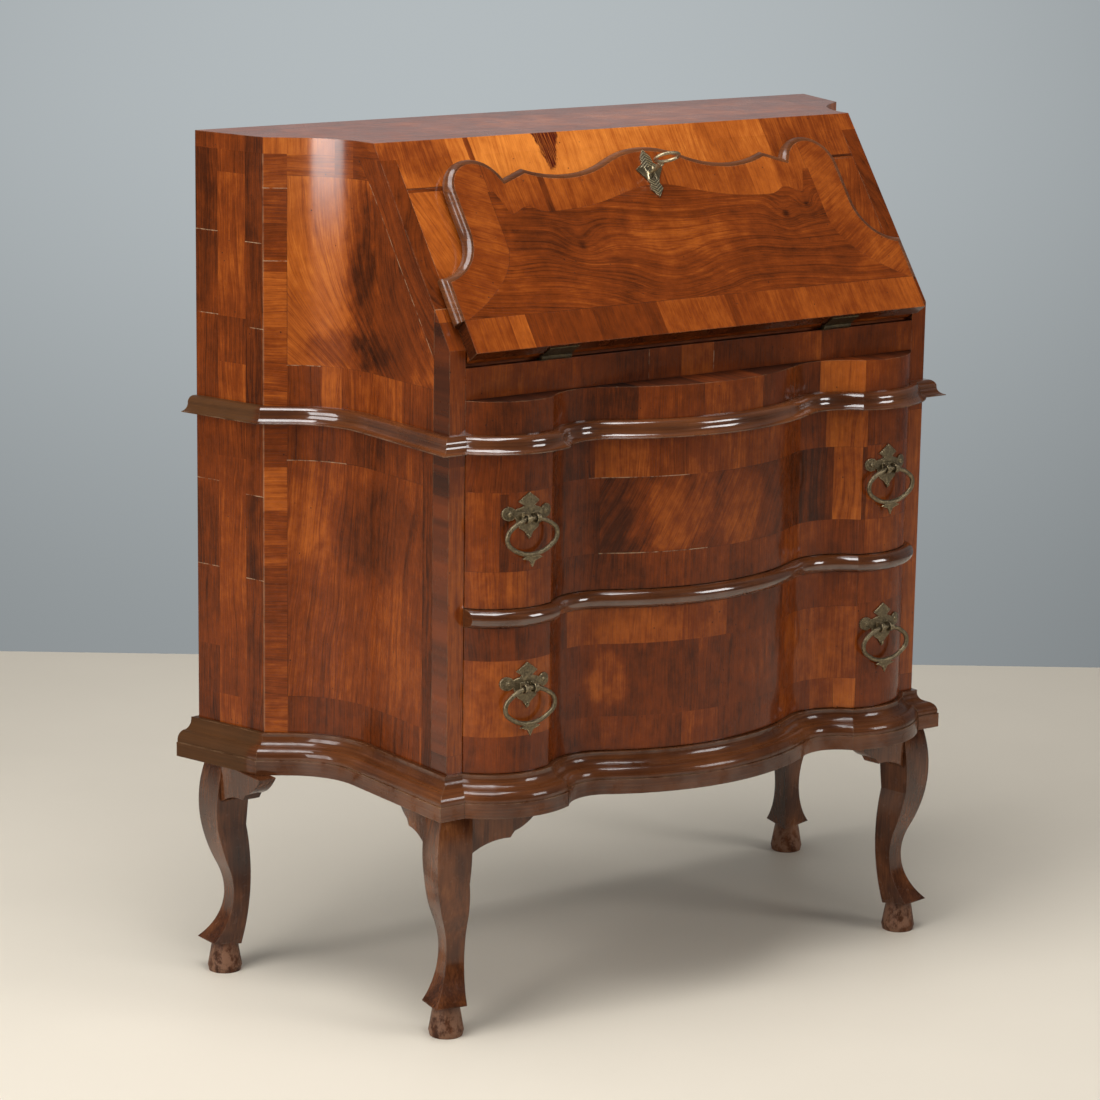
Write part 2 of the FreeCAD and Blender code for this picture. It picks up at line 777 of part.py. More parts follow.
def leg_profile():
    """Outer and inner outline of a leg in one face, offsets from the hoof's centre, outwards positive."""
    top = level["leg_height"]
    ankle = Vector(mm.ankle_reach + mm.ankle_radius, mm.ankle_height, 0)
    run = ankle.x - mm.knee_reach
    rise = mm.knee_height - mm.ankle_height
    knee_radius = (run ** 2 + rise ** 2 - mm.ankle_radius ** 2) / (2 * (mm.ankle_radius - run))
    knee = Vector(mm.knee_reach - knee_radius, mm.knee_height, 0)
    joint = bearing(knee, ankle)
    knee_top = math.degrees(math.asin((top - mm.knee_height) / knee_radius))
    toe_drop = math.degrees(math.asin((mm.ankle_height - mm.toe_height) / mm.ankle_radius))
    toe = polar(ankle, mm.ankle_radius, 180 + toe_drop)
    heel = Vector(-mm.heel_inner, mm.heel_height, 0)
    calf = Vector(-mm.calf_inner, mm.calf_height, 0)
    crown = Vector(-mm.crown_inner, top, 0)
    outer_knee = arc(knee, knee_radius, knee_top, joint)
    return [
        outer_knee,
        arc(ankle, mm.ankle_radius, 180 + joint, 180 + toe_drop),
        line(toe, heel),
        arc_through(heel, Vector(-mm.ankle_inner, mm.ankle_height, 0), calf),
        line(calf, crown),
    ]


def hoof():
    rim = Vector(mm.hoof_radius, 0, mm.hoof_rim)
    points = [
        Vector(), Vector(mm.hoof_radius - mm.hoof_bevel, 0, 0), rim,
        Vector(mm.hoof_top_radius, 0, mm.toe_height), Vector(0, 0, mm.toe_height), Vector(),
    ]
    return Part.Face(Part.makePolygon(points)).revolve(Vector(), Vector(0, 0, 1), 360)


def leg_shape():
    """A leg whose outer corner points along +X and +Y."""
    upright = face_of(leg_profile())
    upright.rotate(Vector(), Vector(1, 0, 0), 90)
    deep = 2 * mm.hoof_radius + mm.overrun
    across = upright.copy()
    across.translate(Vector(0, deep / 2, 0))
    along_x = across.extrude(Vector(0, -deep, 0))
    along_y = along_x.copy()
    along_y.rotate(Vector(), Vector(0, 0, 1), 90)
    return along_x.common(along_y).fuse(hoof()).removeSplitter()


def ear_shape():
    """A knee bracket along +X from a leg's inner face, hanging from the base."""
    step = Vector(mm.ear_step_length, mm.ear_step_rise - mm.ear_height, 0)
    nose = step + Vector(mm.ear_step_run, mm.ear_step, 0)
    tip = Vector(mm.ear_length, 0, 0)
    flare = (mm.crown_inner - mm.calf_inner) / (mm.leg_height - mm.calf_height)
    foot = Vector(-flare * mm.ear_height, -mm.ear_height, 0)
    sag = (foot + step) / 2 + Vector(-mm.ear_sag, mm.ear_sag, 0)
    swell = (nose + tip) / 2 + Vector(mm.ear_swell, -mm.ear_swell, 0)
    path = [
        line(Vector(), foot), arc_through(foot, sag, step), line(step, nose),
        arc_through(nose, swell, tip), line(tip, Vector()),
    ]
    face = Part.Face(Part.Wire(edges_of(path)))
    face.rotate(Vector(), Vector(1, 0, 0), 90)
    return face.extrude(Vector(0, mm.ear_thickness, 0))


LEGS = {
    "front": (mm.front_leg_x, mm.front_leg_depth, -1, mm.front_leg_turn_degrees),
    "back": (mm.back_leg_x, mm.back_leg_depth, 1, 0),
}
ears = []
for end, (leg_x, leg_depth, facing, turn) in LEGS.items():
    for name, side in SIDES.items():
        spot = Vector(side * leg_x, back - leg_depth, 0)
        leg = leg_shape()
        leg = leg.mirror(Vector(), Vector(1, 0, 0)) if side < 0 else leg
        leg = leg.mirror(Vector(), Vector(0, 1, 0)) if facing < 0 else leg
        leg.rotate(Vector(), Vector(0, 0, 1), side * turn)
        leg.translate(spot)
        keep(f"leg_{end}_{name}", shaped(f"leg_{end}_{name}", leg))
        hang = spot + Vector(0, 0, level["leg_height"])
        side_ear = ear_shape()
        side_ear.rotate(Vector(), Vector(0, 0, 1), 90)
        side_ear.translate(Vector(mm.ear_reach, mm.crown_inner, 0))
        side_ear = side_ear.mirror(Vector(), Vector(1, 0, 0)) if side < 0 else side_ear
        side_ear = side_ear.mirror(Vector(), Vector(0, 1, 0)) if facing > 0 else side_ear
        side_ear.rotate(Vector(), Vector(0, 0, 1), side * turn)
        side_ear.translate(hang)
        ears.append(side_ear)
        if end == "front":
            front_ear = ear_shape()
            front_ear.translate(Vector(mm.crown_inner, -mm.ear_reach, 0))
            front_ear = front_ear.mirror(Vector(), Vector(1, 0, 0)) if side > 0 else front_ear
            front_ear.rotate(Vector(), Vector(0, 0, 1), side * turn)
            front_ear.translate(hang)
            ears.append(front_ear)
keep("knee_brackets", shaped("knee_brackets", Part.makeCompound(ears)))

# Drawers on runners
FRONT_HALF = f"({KINK} - Sizes.front_clearance)"
BOX_HALF = f"({FRONT_HALF} - Sizes.drawer_box_inset)"
DRAWERS = {
    "lower": ("base_height", "lower_drawer_height", "base_height", "Worked.base_front_rail_depth"),
    "upper": ("divider_height", "upper_drawer_height", "lower_drawer_height", "Worked.rail_back_depth"),
}
runners = []
for name, (low, high, seat, runner_front) in DRAWERS.items():
    z = (f"{level_text[low]} + Sizes.front_clearance", f"{level_text[high]} - Sizes.front_clearance")
    keep(f"{name}_drawer_front",
         front_board(f"{name}_drawer_front", z, "Worked.front_back_depth", FRONT_HALF))
    floor = f"({level_text[low]} + Sizes.runner_thickness)"
    rim = f"({level_text[high]} - Sizes.drawer_top_drop)"
    box_y = (depth("Worked.front_back_depth"), depth("Sizes.drawer_back_depth"))
    inner_y = (box_y[0], depth("Sizes.drawer_back_depth + Sizes.drawer_back"))
    inner_half = f"({BOX_HALF} - Sizes.drawer_side)"
    for hand, side in SIDES.items():
        x = sided(side, inner_half, BOX_HALF)
        keep(f"{name}_drawer_side_{hand}", block(f"{name}_drawer_side_{hand}", x, box_y, (floor, rim)))
        x = sided(side, "Worked.runner_inner_x", KINK)
        runner_y = (depth(runner_front), depth("Sizes.back_thickness"))
        plate = block(f"{name}_runner_plate_{hand}", x, runner_y, (level_text[seat], floor))
        x = sided(side, f"{BOX_HALF} + Sizes.guide_gap", KINK)
        guide = block(f"{name}_runner_guide_{hand}", x, runner_y, (floor, f"{floor} + Sizes.guide_height"))
        runners.append(joined("Fuse", f"{name}_runner_{hand}", plate, guide))
    inner_x = (f"-{inner_half}", inner_half)
    back_y = (inner_y[1], box_y[1])
    keep(f"{name}_drawer_back", block(f"{name}_drawer_back", inner_x, back_y, (floor, rim)))
    bottom_z = (f"{floor} + Sizes.drawer_bottom_lift",
                f"{floor} + Sizes.drawer_bottom_lift + Sizes.drawer_bottom")
    keep(f"{name}_drawer_bottom", block(f"{name}_drawer_bottom", inner_x, inner_y, bottom_z))
keep("drawer_runners", group("drawer_runners", runners))

# Drawer pulls on the lobes
lobe_front = lobe_centre.y - mm.lobe_radius
staple_radius = mm.ring_wire + mm.staple_play + mm.staple_wall
ring_y = lobe_front - mm.plate_thickness - staple_radius
pull_heights = {
    "lower": level["base_height"] + mm.pull_lower_height,
    "upper": level["divider_height"] + mm.pull_upper_height,
}


def plate_outline():
    """A pointed leaf with barbs, two round arms and a diamond tail, seen from the front."""
    arm = Vector(mm.plate_arm_x, mm.plate_arm_height, 0)
    half = mm.plate_arm_half
    reach = math.sqrt(mm.plate_arm_radius ** 2 - half ** 2)
    arm_top = arm + Vector(-reach, half, 0)
    arm_foot = arm + Vector(-reach, -half, 0)
    tip = Vector(0, mm.plate_top, 0)
    barb = Vector(mm.plate_barb_x, mm.plate_barb_height, 0)
    neck = Vector(mm.plate_neck_x, mm.plate_neck_height, 0)
    waist = Vector(mm.plate_waist_x, -mm.plate_waist_height, 0)
    tail_barb = Vector(mm.plate_tail_x, -mm.plate_tail_height, 0)
    tail = Vector(0, -mm.plate_tail, 0)
    right = [
        line(tail, waist), line(waist, tail_barb), line(tail_barb, arm_foot),
        arc_to(arm, arm_foot, arm_top, 1), line(arm_top, neck), line(neck, barb), line(barb, tip),
    ]
    return right + mirrored(right)


def upright(face, spot):
    """Stands a face drawn in X and Y up in the plane of X and Z at a spot."""
    face.rotate(Vector(), Vector(1, 0, 0), 90)
    face.translate(spot)
    return face


def cylinder(start, along, radius, length):
    return Part.makeCylinder(radius, length, start, along)


def nail(x, z):
    """A round-headed nail on the curved lobe."""
    drop = math.sqrt((mm.lobe_radius + mm.plate_thickness) ** 2 - (x - lobe_centre.x) ** 2)
    head = Part.makeSphere(mm.nail_radius, Vector(x, lobe_centre.y - drop, z))
    return head.common(cylinder(Vector(x, lobe_centre.y - drop, z), ahead, mm.nail_radius, mm.nail_height))


def pull_plate(z):
    """A plate bent to the lobe on the right, with its staple and nails."""
    spot = Vector(mm.pull_x, back, z)
    face = upright(Part.Face(Part.Wire(edges_of(plate_outline()))), spot)
    leaf = face.extrude(Vector(0, -mm.bulge_depth - mm.overrun, 0))
    stock = cylinder(Vector(lobe_centre.x, lobe_centre.y, 0), Vector(0, 0, 1),
                     mm.lobe_radius + mm.plate_thickness, mm.total_height)
    core = cylinder(Vector(lobe_centre.x, lobe_centre.y, 0), Vector(0, 0, 1), mm.lobe_radius, mm.total_height)
    leaf = max(leaf.common(stock).cut(core).Solids, key=lambda solid: -solid.CenterOfMass.y)
    axis = Vector(mm.pull_x - mm.staple_half_length, ring_y, z)
    inwards_face = lobe_front - mm.plate_thickness / 2
    length = 2 * mm.staple_half_length
    barrel = cylinder(axis, Vector(1, 0, 0), staple_radius, length)
    web = Part.makeBox(length, inwards_face - ring_y, 2 * staple_radius)
    web.translate(Vector(axis.x, ring_y, z - staple_radius))
    eye = barrel.fuse(web).cut(core)
    eye = eye.cut(cylinder(axis, Vector(1, 0, 0), mm.ring_wire + mm.staple_play, length))
    slot = Part.makeBox(2 * mm.staple_slot, mm.overrun, 2 * mm.overrun)
    slot.translate(Vector(mm.pull_x - mm.staple_slot, ring_y - mm.overrun + staple_radius, z - mm.overrun))
    eye = eye.cut(slot)
    plate = leaf.fuse(eye).removeSplitter()
    spots = [(mm.pull_x + side * mm.plate_arm_x, z + mm.plate_arm_height) for side in SIDES.values()]
    spots.append((mm.pull_x, z - (mm.plate_tail + mm.plate_waist_height) / 2))
    return Part.makeCompound([plate] + [nail(*place) for place in spots])


def oval_ring(half_width, half_height, end_radius, wire):
    """A wire ring of four tangent arcs in the plane of X and Z about the origin."""
    end_x = half_width - end_radius
    broad = (end_x ** 2 + half_height ** 2 - end_radius ** 2) / (2 * (half_height - end_radius))
    crown = Vector(0, half_height - broad, 0)
    end = Vector(end_x, 0, 0)
    join = bearing(crown, end)
    arcs = [
        arc(end, end_radius, -join, join),
        arc(crown, broad, join, 180 - join),
        arc(Vector(-end_x, 0, 0), end_radius, 180 - join, 180 + join),
        arc(crown * -1, broad, 180 + join, 360 - join),
    ]
    solid = None
    for piece in arcs:
        radial = polar(Vector(), 1, piece.first)
        circle = Part.Wire(Part.makeCircle(wire, piece.start, left_of(radial)))
        part = Part.Face(circle).revolve(piece.centre, Vector(0, 0, 1), piece.last - piece.first)
        solid = solid.fuse(part) if solid else part
    ring = solid.removeSplitter()
    ring.rotate(Vector(), Vector(1, 0, 0), 90)
    return ring


def finial():
    """The barbed leaf under a ring, hanging from the ring's lowest point at the origin."""
    shoulder = Vector(mm.finial_waist, mm.ring_wire, 0)
    barb = Vector(mm.finial_half_width, -mm.finial_barb_drop, 0)
    waist = Vector(mm.finial_waist, -mm.finial_barb_drop - mm.finial_waist, 0)
    tip = Vector(0, -mm.finial_length, 0)
    right = [line(tip, waist), line(waist, barb), line(barb, shoulder)]
    top = line(shoulder, Vector(-shoulder.x, shoulder.y, 0))
    face = Part.Face(Part.Wire(edges_of(right + [top] + mirrored(right))))
    face.rotate(Vector(), Vector(1, 0, 0), 90)
    face.translate(Vector(0, mm.finial_thickness / 2, 0))
    return face.extrude(Vector(0, -mm.finial_thickness, 0))


def pull_ring(z):
    ring = oval_ring(mm.ring_half_width, mm.ring_half_height, mm.ring_end_radius, mm.ring_wire)
    leaf = finial()
    leaf.translate(Vector(0, 0, -mm.ring_half_height - mm.ring_wire))
    ring = ring.fuse(leaf)
    ring.translate(Vector(mm.pull_x, ring_y, z - mm.ring_half_height))
    return ring


for name, z in pull_heights.items():
    for hand, side in SIDES.items():
        plate = pull_plate(z)
        ring = pull_ring(z)
        if side < 0:
            plate = plate.mirror(Vector(), Vector(1, 0, 0))
            ring = ring.mirror(Vector(), Vector(1, 0, 0))
        keep(f"{name}_pull_plate_{hand}", shaped(f"{name}_pull_plate_{hand}", plate))
        keep(f"{name}_pull_ring_{hand}", shaped(f"{name}_pull_ring_{hand}", ring))

# Slanted frame round the fall's opening


def slope_body(name, points, low, thickness):
    """A board lying in the slant, from a bound outline of (across, up the slope) expressions."""
    body = doc.addObject("PartDesign::Body", name)
    plane = next(item for item in body.Origin.OriginFeatures if item.Role == "XY_Plane")
    sketch = body.newObject("Sketcher::SketchObject", name + "_outline")
    sketch.AttachmentSupport = [(plane, "")]
    sketch.MapMode = "FlatFace"
    sketch.setExpression("AttachmentOffset.Base.z", low)
    spots = [Vector(*[float(sheet.evalExpression(text)) for text in point], 0) for point in points]
    count = len(spots)
    for index in range(count):
        sketch.addGeometry(Part.LineSegment(spots[index], spots[(index + 1) % count]), False)
    for index in range(count):
        sketch.addConstraint(Sketcher.Constraint("Coincident", index, 2, (index + 1) % count, 1))
    for index, point in enumerate(points):
        for kind, text, value in zip(("DistanceX", "DistanceY"), point, spots[index]):
            number = sketch.addConstraint(Sketcher.Constraint(kind, -1, 1, index, 1, value))
            sketch.setExpression(f"Constraints[{number}]", text)
    pad = body.newObject("PartDesign::Pad", name + "_pad")
    pad.Profile = sketch
    pad.setExpression("Length", thickness)
    body.Placement = slant
    return body


FRAME_LOW = "-Sizes.frame_thickness"
stiles = []
for name, side in SIDES.items():
    x = sided(side, "Worked.opening_half_width", KINK)
    stile = [(x[0], "Sizes.opening_foot"), (x[1], "Sizes.opening_foot"),
             (x[1], "Worked.header_foot"), (x[0], "Worked.header_foot")]
    stiles.append(slope_body(f"slant_stile_{name}", stile, FRAME_LOW, "Sizes.frame_thickness"))
keep("slant_stiles", group("slant_stiles", stiles))

header_right = [
    ("Sizes.lock_notch_half", "Worked.lock_notch_top"), ("Sizes.lock_notch_half", "Worked.opening_top"),
    ("Worked.opening_half_width", "Worked.opening_top"), ("Worked.opening_half_width", "Worked.header_foot"),
    (KINK, "Worked.header_foot"), (KINK, SLANT_TOP),
]
header_left = [(f"-{x}", s) for x, s in reversed(header_right)]
header = slope_body("slant_header_board", header_right + header_left, FRAME_LOW, "Sizes.frame_thickness")

# The fall: hinge axis, board in the opening, raised panel and its bead
axis = Vector(0, back - mm.post_depth - mm.axis_ahead, bed_top - mm.axis_below_bed)
axis_slope = on_slant(axis)
tongue_low = axis_slope.z - mm.axis_below_bed
tongue_foot = axis_slope.y + mm.tongue_lift
overlay_foot = axis_slope.y + mm.overlay_lift
overlay_top = mm.overlay_height


def polygon_face(points):
    return Part.Face(Part.makePolygon(points + points[:1]))


def slab(face, low, high):
    face.translate(Vector(0, 0, low))
    return face.extrude(Vector(0, 0, high - low))


def box_between(low, high):
    solid = Part.makeBox(high.x - low.x, high.y - low.y, high.z - low.z)
    solid.translate(low)
    return solid


# Lock in the tab at the head of the fall, its bolt drawn back
tab_top = mm.lock_notch_top - mm.fall_gap
lock_low = Vector(-mm.lock_half_width, tab_top - mm.lock_length, tongue_low)
lock_high = Vector(mm.lock_half_width, tab_top, tongue_low + mm.lock_thickness)
bolt_mid = tongue_low + mm.lock_thickness / 2
bolt_low = Vector(-mm.bolt_half_width, tab_top - mm.bolt_length, bolt_mid - mm.bolt_thickness / 2)
bolt_high = Vector(mm.bolt_half_width, tab_top, bolt_mid + mm.bolt_thickness / 2)
play = Vector(mm.bolt_play, mm.bolt_play, mm.bolt_play)
throw = Vector(0, mm.bolt_travel, 0)
key_spot = Vector(0, mm.key_height, 0)
keyway = cylinder(
    key_spot - Vector(0, 0, mm.overrun), Vector(0, 0, 1), mm.key_radius + mm.hinge_play, 2 * mm.overrun)
bolt_way = box_between(bolt_low - play, bolt_high + play + throw)
bolt_slot = box_between(
    Vector(bolt_low.x, tab_top, bolt_low.z) - play, bolt_high + play + throw + Vector(0, mm.bolt_play, 0))
keep("lock_case", shaped("lock_case", box_between(lock_low, lock_high).cut(bolt_way).cut(keyway), slant))
keep("lock_bolt", shaped("lock_bolt", box_between(bolt_low, bolt_high), slant))

half_tongue = mm.opening_half_width - mm.fall_gap
head = mm.opening_top - mm.fall_gap
tab = mm.lock_notch_half - mm.fall_gap
tongue_right = [
    Vector(mm.tongue_half_foot, tongue_foot, 0), Vector(mm.tongue_half_foot, mm.tongue_foot_height, 0),
    Vector(half_tongue, mm.tongue_foot_height, 0), Vector(half_tongue, head, 0),
    Vector(tab, head, 0), Vector(tab, tab_top, 0),
]
tongue_left = [Vector(-point.x, point.y, 0) for point in reversed(tongue_right)]
tongue = slab(polygon_face(tongue_right + tongue_left), tongue_low, mm.overlay_gap)
tongue = tongue.cut(box_between(lock_low, lock_high)).cut(keyway)
keep("fall_board", shaped("fall_board", tongue, slant))

header_slot = shaped("header_bolt_slot", bolt_slot, slant)
keep("slant_header", joined("Cut", "slant_header", header, header_slot))


def fall_outline():
    """The raised panel's outline from the left foot of its bead over the top to the right foot."""
    bead_x = mm.overlay_half_width + mm.bead_width
    valley = Vector(mm.valley_x, mm.valley_height + mm.valley_radius, 0)
    drop = mm.fall_height - valley.y
    crown_radius = (valley.x ** 2 + drop ** 2 - mm.valley_radius ** 2) / (2 * (drop + mm.valley_radius))
    crown = Vector(0, mm.fall_height - crown_radius, 0)
    crown_arc = arc(crown, crown_radius, 90, bearing(crown, valley))
    tip_drop = math.sqrt(mm.valley_radius ** 2 - (mm.tip_x - valley.x) ** 2)
    tip = Vector(mm.tip_x, valley.y - tip_drop, 0)
    cusp = Vector(mm.cusp_x, mm.cusp_height, 0)
    lobe = Vector(mm.lobe_top_x, mm.lobe_top_height, 0)
    scoop = Vector(mm.scoop_x, mm.scoop_height, 0)
    reach = (mm.lobe_top_radius + mm.scoop_radius) / (scoop - lobe).Length
    lean = bearing(lobe, scoop) + math.degrees(math.acos(reach))
    lobe_arc = arc(lobe, mm.lobe_top_radius, mm.lobe_top_degrees, lean)
    scoop_drop = math.sqrt(mm.scoop_radius ** 2 - (bead_x - scoop.x) ** 2)
    shoulder = Vector(bead_x, scoop.y - scoop_drop, 0)
    scoop_arc = arc_to(scoop, polar(scoop, mm.scoop_radius, 180 + lean), shoulder, 1)
    right = [
        crown_arc,
        arc_to(valley, crown_arc.end, tip, 1),
        line(tip, cusp),
        line(cusp, lobe_arc.start),
        lobe_arc,
        line(lobe_arc.end, scoop_arc.start),
        scoop_arc,
        line(shoulder, Vector(bead_x, mm.bead_foot, 0)),
    ]
    return mirrored(right) + right


BEAD_FOOT = (-mm.bead_width, mm.overlay_gap)
BEAD_HEAD = (-mm.bead_width, overlay_top)
half_round = [BEAD_FOOT, ((0, (mm.overlay_gap + overlay_top) / 2), BEAD_HEAD)]
square = [BEAD_FOOT, (0, mm.overlay_gap), (0, overlay_top), BEAD_HEAD]
keep("fall_bead", shaped("fall_bead", moulding(fall_outline(), half_round, 2 * mm.bead_width), slant))
raised = slab(face_of(fall_outline()), mm.overlay_gap, overlay_top)
border = moulding(fall_outline(), square, 2 * mm.bead_width)
field = max(raised.cut(border).Solids, key=lambda solid: solid.Volume)
foot_board = box_between(
    Vector(-mm.overlay_half_width, overlay_foot, mm.overlay_gap),
    Vector(mm.overlay_half_width, mm.bead_foot, overlay_top))
panel = field.fuse(foot_board).removeSplitter().cut(keyway)
keep("fall_panel", shaped("fall_panel", panel, slant))

# Escutcheon and key
ESCUTCHEON_SHARES = [
    (0, -1), (0.46, -0.66), (0.34, -0.42), (0.48, -0.22), (1, 0.21), (0.42, 0.42), (0.38, 0.68), (0, 1),
]


def escutcheon_shape():
    right = [
        Vector(mm.escutcheon_half_width * across, mm.key_height + mm.escutcheon_half_height * rise, 0)
        for across, rise in ESCUTCHEON_SHARES
    ]
    left = [Vector(-point.x, point.y, 0) for point in reversed(right[1:-1])]
    plate_top = overlay_top + mm.escutcheon_thickness
    leaf = slab(polygon_face(right + left), overlay_top, plate_top)
    seat = Vector(0, mm.key_height, overlay_top)
    rim_height = mm.escutcheon_thickness + mm.escutcheon_rim_height
    rim = cylinder(seat, Vector(0, 0, 1), mm.escutcheon_rim, rim_height)
    slot = box_between(
        Vector(-mm.keyhole_half_width, mm.key_height - mm.keyhole_drop, overlay_top),
        Vector(mm.keyhole_half_width, mm.key_height, plate_top + mm.overrun))
    return leaf.fuse(rim).cut(keyway).cut(slot)


def key_shape():
    tail = bolt_high.z + 2 * mm.bolt_play
    face = overlay_top + mm.escutcheon_thickness + mm.escutcheon_rim_height
    neck = face + mm.key_reach
    shank = cylinder(Vector(0, mm.key_height, tail), Vector(0, 0, 1), mm.key_radius, neck - tail)
    collar = cylinder(
        Vector(0, mm.key_height, neck - 2 * mm.collar_length), Vector(0, 0, 1), mm.collar_radius,
        mm.collar_length)
    bow = oval_ring(mm.bow_half_width, mm.bow_half_height, mm.bow_end_radius, mm.bow_wire)
    bow.translate(Vector(0, mm.key_height, neck + mm.bow_half_height))
    return shank.fuse(collar).fuse(bow)


keep("escutcheon", shaped("escutcheon", escutcheon_shape(), slant))
keep("key", shaped("key", key_shape(), slant))

# Butt hinges at the foot of the fall
RIGHT = Vector(1, 0, 0)
KNUCKLE_SHARE = 0.25
knuckle = KNUCKLE_SHARE * mm.hinge_length
hinge_half = mm.hinge_length / 2


def rail_leaf(x):
    """The fixed leaf on the rail, with the pin riveted into its two outer knuckles."""
    low = level["rail_height"]
    high = low + mm.hinge_leaf
    clear = axis.y + mm.hinge_barrel + mm.hinge_end_play
    rear = back - mm.bed_front_depth - mm.hinge_end_play
    leaf = box_between(Vector(x - hinge_half, clear, low), Vector(x + hinge_half, rear, high))
    leaf = leaf.fuse(cylinder(Vector(x - hinge_half, axis.y, axis.z), RIGHT, mm.hinge_pin, mm.hinge_length))
    for start in (x - hinge_half, x + hinge_half - knuckle):
        tab = box_between(Vector(start, axis.y, low), Vector(start + knuckle, clear, high))
        barrel = cylinder(Vector(start, axis.y, axis.z), RIGHT, mm.hinge_barrel, knuckle)
        leaf = leaf.fuse(tab.fuse(barrel))
    return leaf.removeSplitter()


def fall_leaf(x):
    """The moving leaf under the fall's foot, with the middle knuckle; in slope coordinates."""
    low = x - hinge_half + knuckle + mm.hinge_end_play
    high = x + hinge_half - knuckle - mm.hinge_end_play
    under = overlay_foot - mm.hinge_leaf
    front = mm.overlay_gap + mm.hinge_leaf_width
    clear = axis_slope.z + mm.hinge_barrel + mm.hinge_end_play
    spot = Vector(low, axis_slope.y, axis_slope.z)
    leaf = cylinder(spot, RIGHT, mm.hinge_barrel, high - low)
    leaf = leaf.fuse(box_between(Vector(low, under, axis_slope.z), Vector(high, overlay_foot, front)))
    wide = box_between(Vector(x - hinge_half, under, clear), Vector(x + hinge_half, overlay_foot, front))
    bore = cylinder(spot, RIGHT, mm.hinge_pin + mm.hinge_play, high - low)
    return leaf.fuse(wide).cut(bore).removeSplitter()


hinge_spots = [side * mm.hinge_x for side in SIDES.values()]
keep("hinge_rail_leaves", shaped(
    "hinge_rail_leaves", Part.makeCompound([rail_leaf(x) for x in hinge_spots])))
keep("hinge_fall_leaves", shaped(
    "hinge_fall_leaves", Part.makeCompound([fall_leaf(x) for x in hinge_spots]), slant))

# Stays: a slotted arm pivots on the fall and slides over a stud in the cheek. Pivot and stud are at
# the same distance from the hinge axis, so the arm turns back by half the fall's own angle.
swing = 180 - mm.slant_degrees


def round_axis(degrees):
    angle = math.radians(degrees)
    return axis + Vector(0, math.cos(angle), math.sin(angle)) * mm.stay_radius


pivot = round_axis(mm.stay_pivot_degrees)
stud = round_axis(mm.stay_stud_degrees)
pivot_slope = on_slant(pivot)
slot_start = (stud - pivot).Length
slot_angle = math.radians(mm.stay_pivot_degrees - mm.stay_stud_degrees + swing)
slot_end = 2 * mm.stay_radius * math.sin(slot_angle / 2)
arm_end = slot_end + mm.stay_pin


def stadium(start, end, radius, height):
    """A bar with round ends along X."""
    bar = box_between(Vector(start, -radius, 0), Vector(end, radius, height))
    for x in (start, end):
        bar = bar.fuse(cylinder(Vector(x, 0, 0), Vector(0, 0, 1), radius, height))
    return bar.removeSplitter()


def stay_arm():
    """The right arm at rest, running down and back from its pivot through the stud."""
    arm = stadium(0, arm_end, mm.stay_width / 2, mm.stay_thickness)
    arm = arm.cut(stadium(slot_start, slot_end, mm.stay_pin + mm.stay_play, mm.stay_thickness))
    arm = arm.cut(cylinder(Vector(), Vector(0, 0, 1), mm.stay_pin + mm.hinge_play, mm.stay_thickness))
    run = stud - pivot
    arm.rotate(Vector(), Vector(1, 1, 1), 120)
    arm.rotate(Vector(), RIGHT, math.degrees(math.atan2(run.z, run.y)))
    arm.translate(Vector(mm.stay_x, pivot.y, pivot.z))
    return arm


def stay_bracket():
    """A lug on the fall's inner face with the pivot pin; in slope coordinates."""
    outer = mm.stay_x - mm.stay_play
    inner = outer - mm.stay_lug
    half = mm.stay_lug_half
    lug = box_between(
        Vector(inner, pivot_slope.y - half, pivot_slope.z - half),
        Vector(outer, pivot_slope.y + half, tongue_low))
    cap_start = mm.stay_x + mm.stay_thickness + mm.stay_play
    spot = Vector(inner, pivot_slope.y, pivot_slope.z)
    pin = cylinder(spot, RIGHT, mm.stay_pin, cap_start - inner)
    cap = cylinder(Vector(cap_start, spot.y, spot.z), RIGHT, mm.stay_pin + mm.stay_cap, mm.stay_cap)
    return lug.fuse(pin).fuse(cap)


def stay_stud():
    """A headed stud in the right cheek."""
    head_end = mm.stay_x - mm.stay_play
    head_start = head_end - mm.stay_cap
    shaft = cylinder(Vector(head_end, stud.y, stud.z), RIGHT, mm.stay_pin, mm.cheek_inner_x - head_end)
    head = cylinder(Vector(head_start, stud.y, stud.z), RIGHT, mm.stay_pin + mm.stay_cap, mm.stay_cap)
    return shaft.fuse(head)


def both_sides(shape):
    return Part.makeCompound([shape.mirror(Vector(), RIGHT), shape])


keep("stay_arm_left", shaped("stay_arm_left", stay_arm().mirror(Vector(), RIGHT)))
keep("stay_arm_right", shaped("stay_arm_right", stay_arm()))
keep("stay_brackets", shaped("stay_brackets", both_sides(stay_bracket()), slant))
keep("stay_studs", shaped("stay_studs", both_sides(stay_stud())))


def bed_crossings():
    """Where the stays' middle lines pass the bed's two faces as the fall swings down."""
    spots = []
    steps = 60
    for step in range(steps + 1):
        here = round_axis(mm.stay_pivot_degrees + swing * step / steps)
        run = (stud - here).normalize()
        for z in (bed_top, bed_top - mm.bed_thickness):
            if run.z < 0 and (z - here.z) / run.z < arm_end + mm.stay_width / 2:
                spots.append(here.y + run.y * (z - here.z) / run.z)
    return min(spots), max(spots)


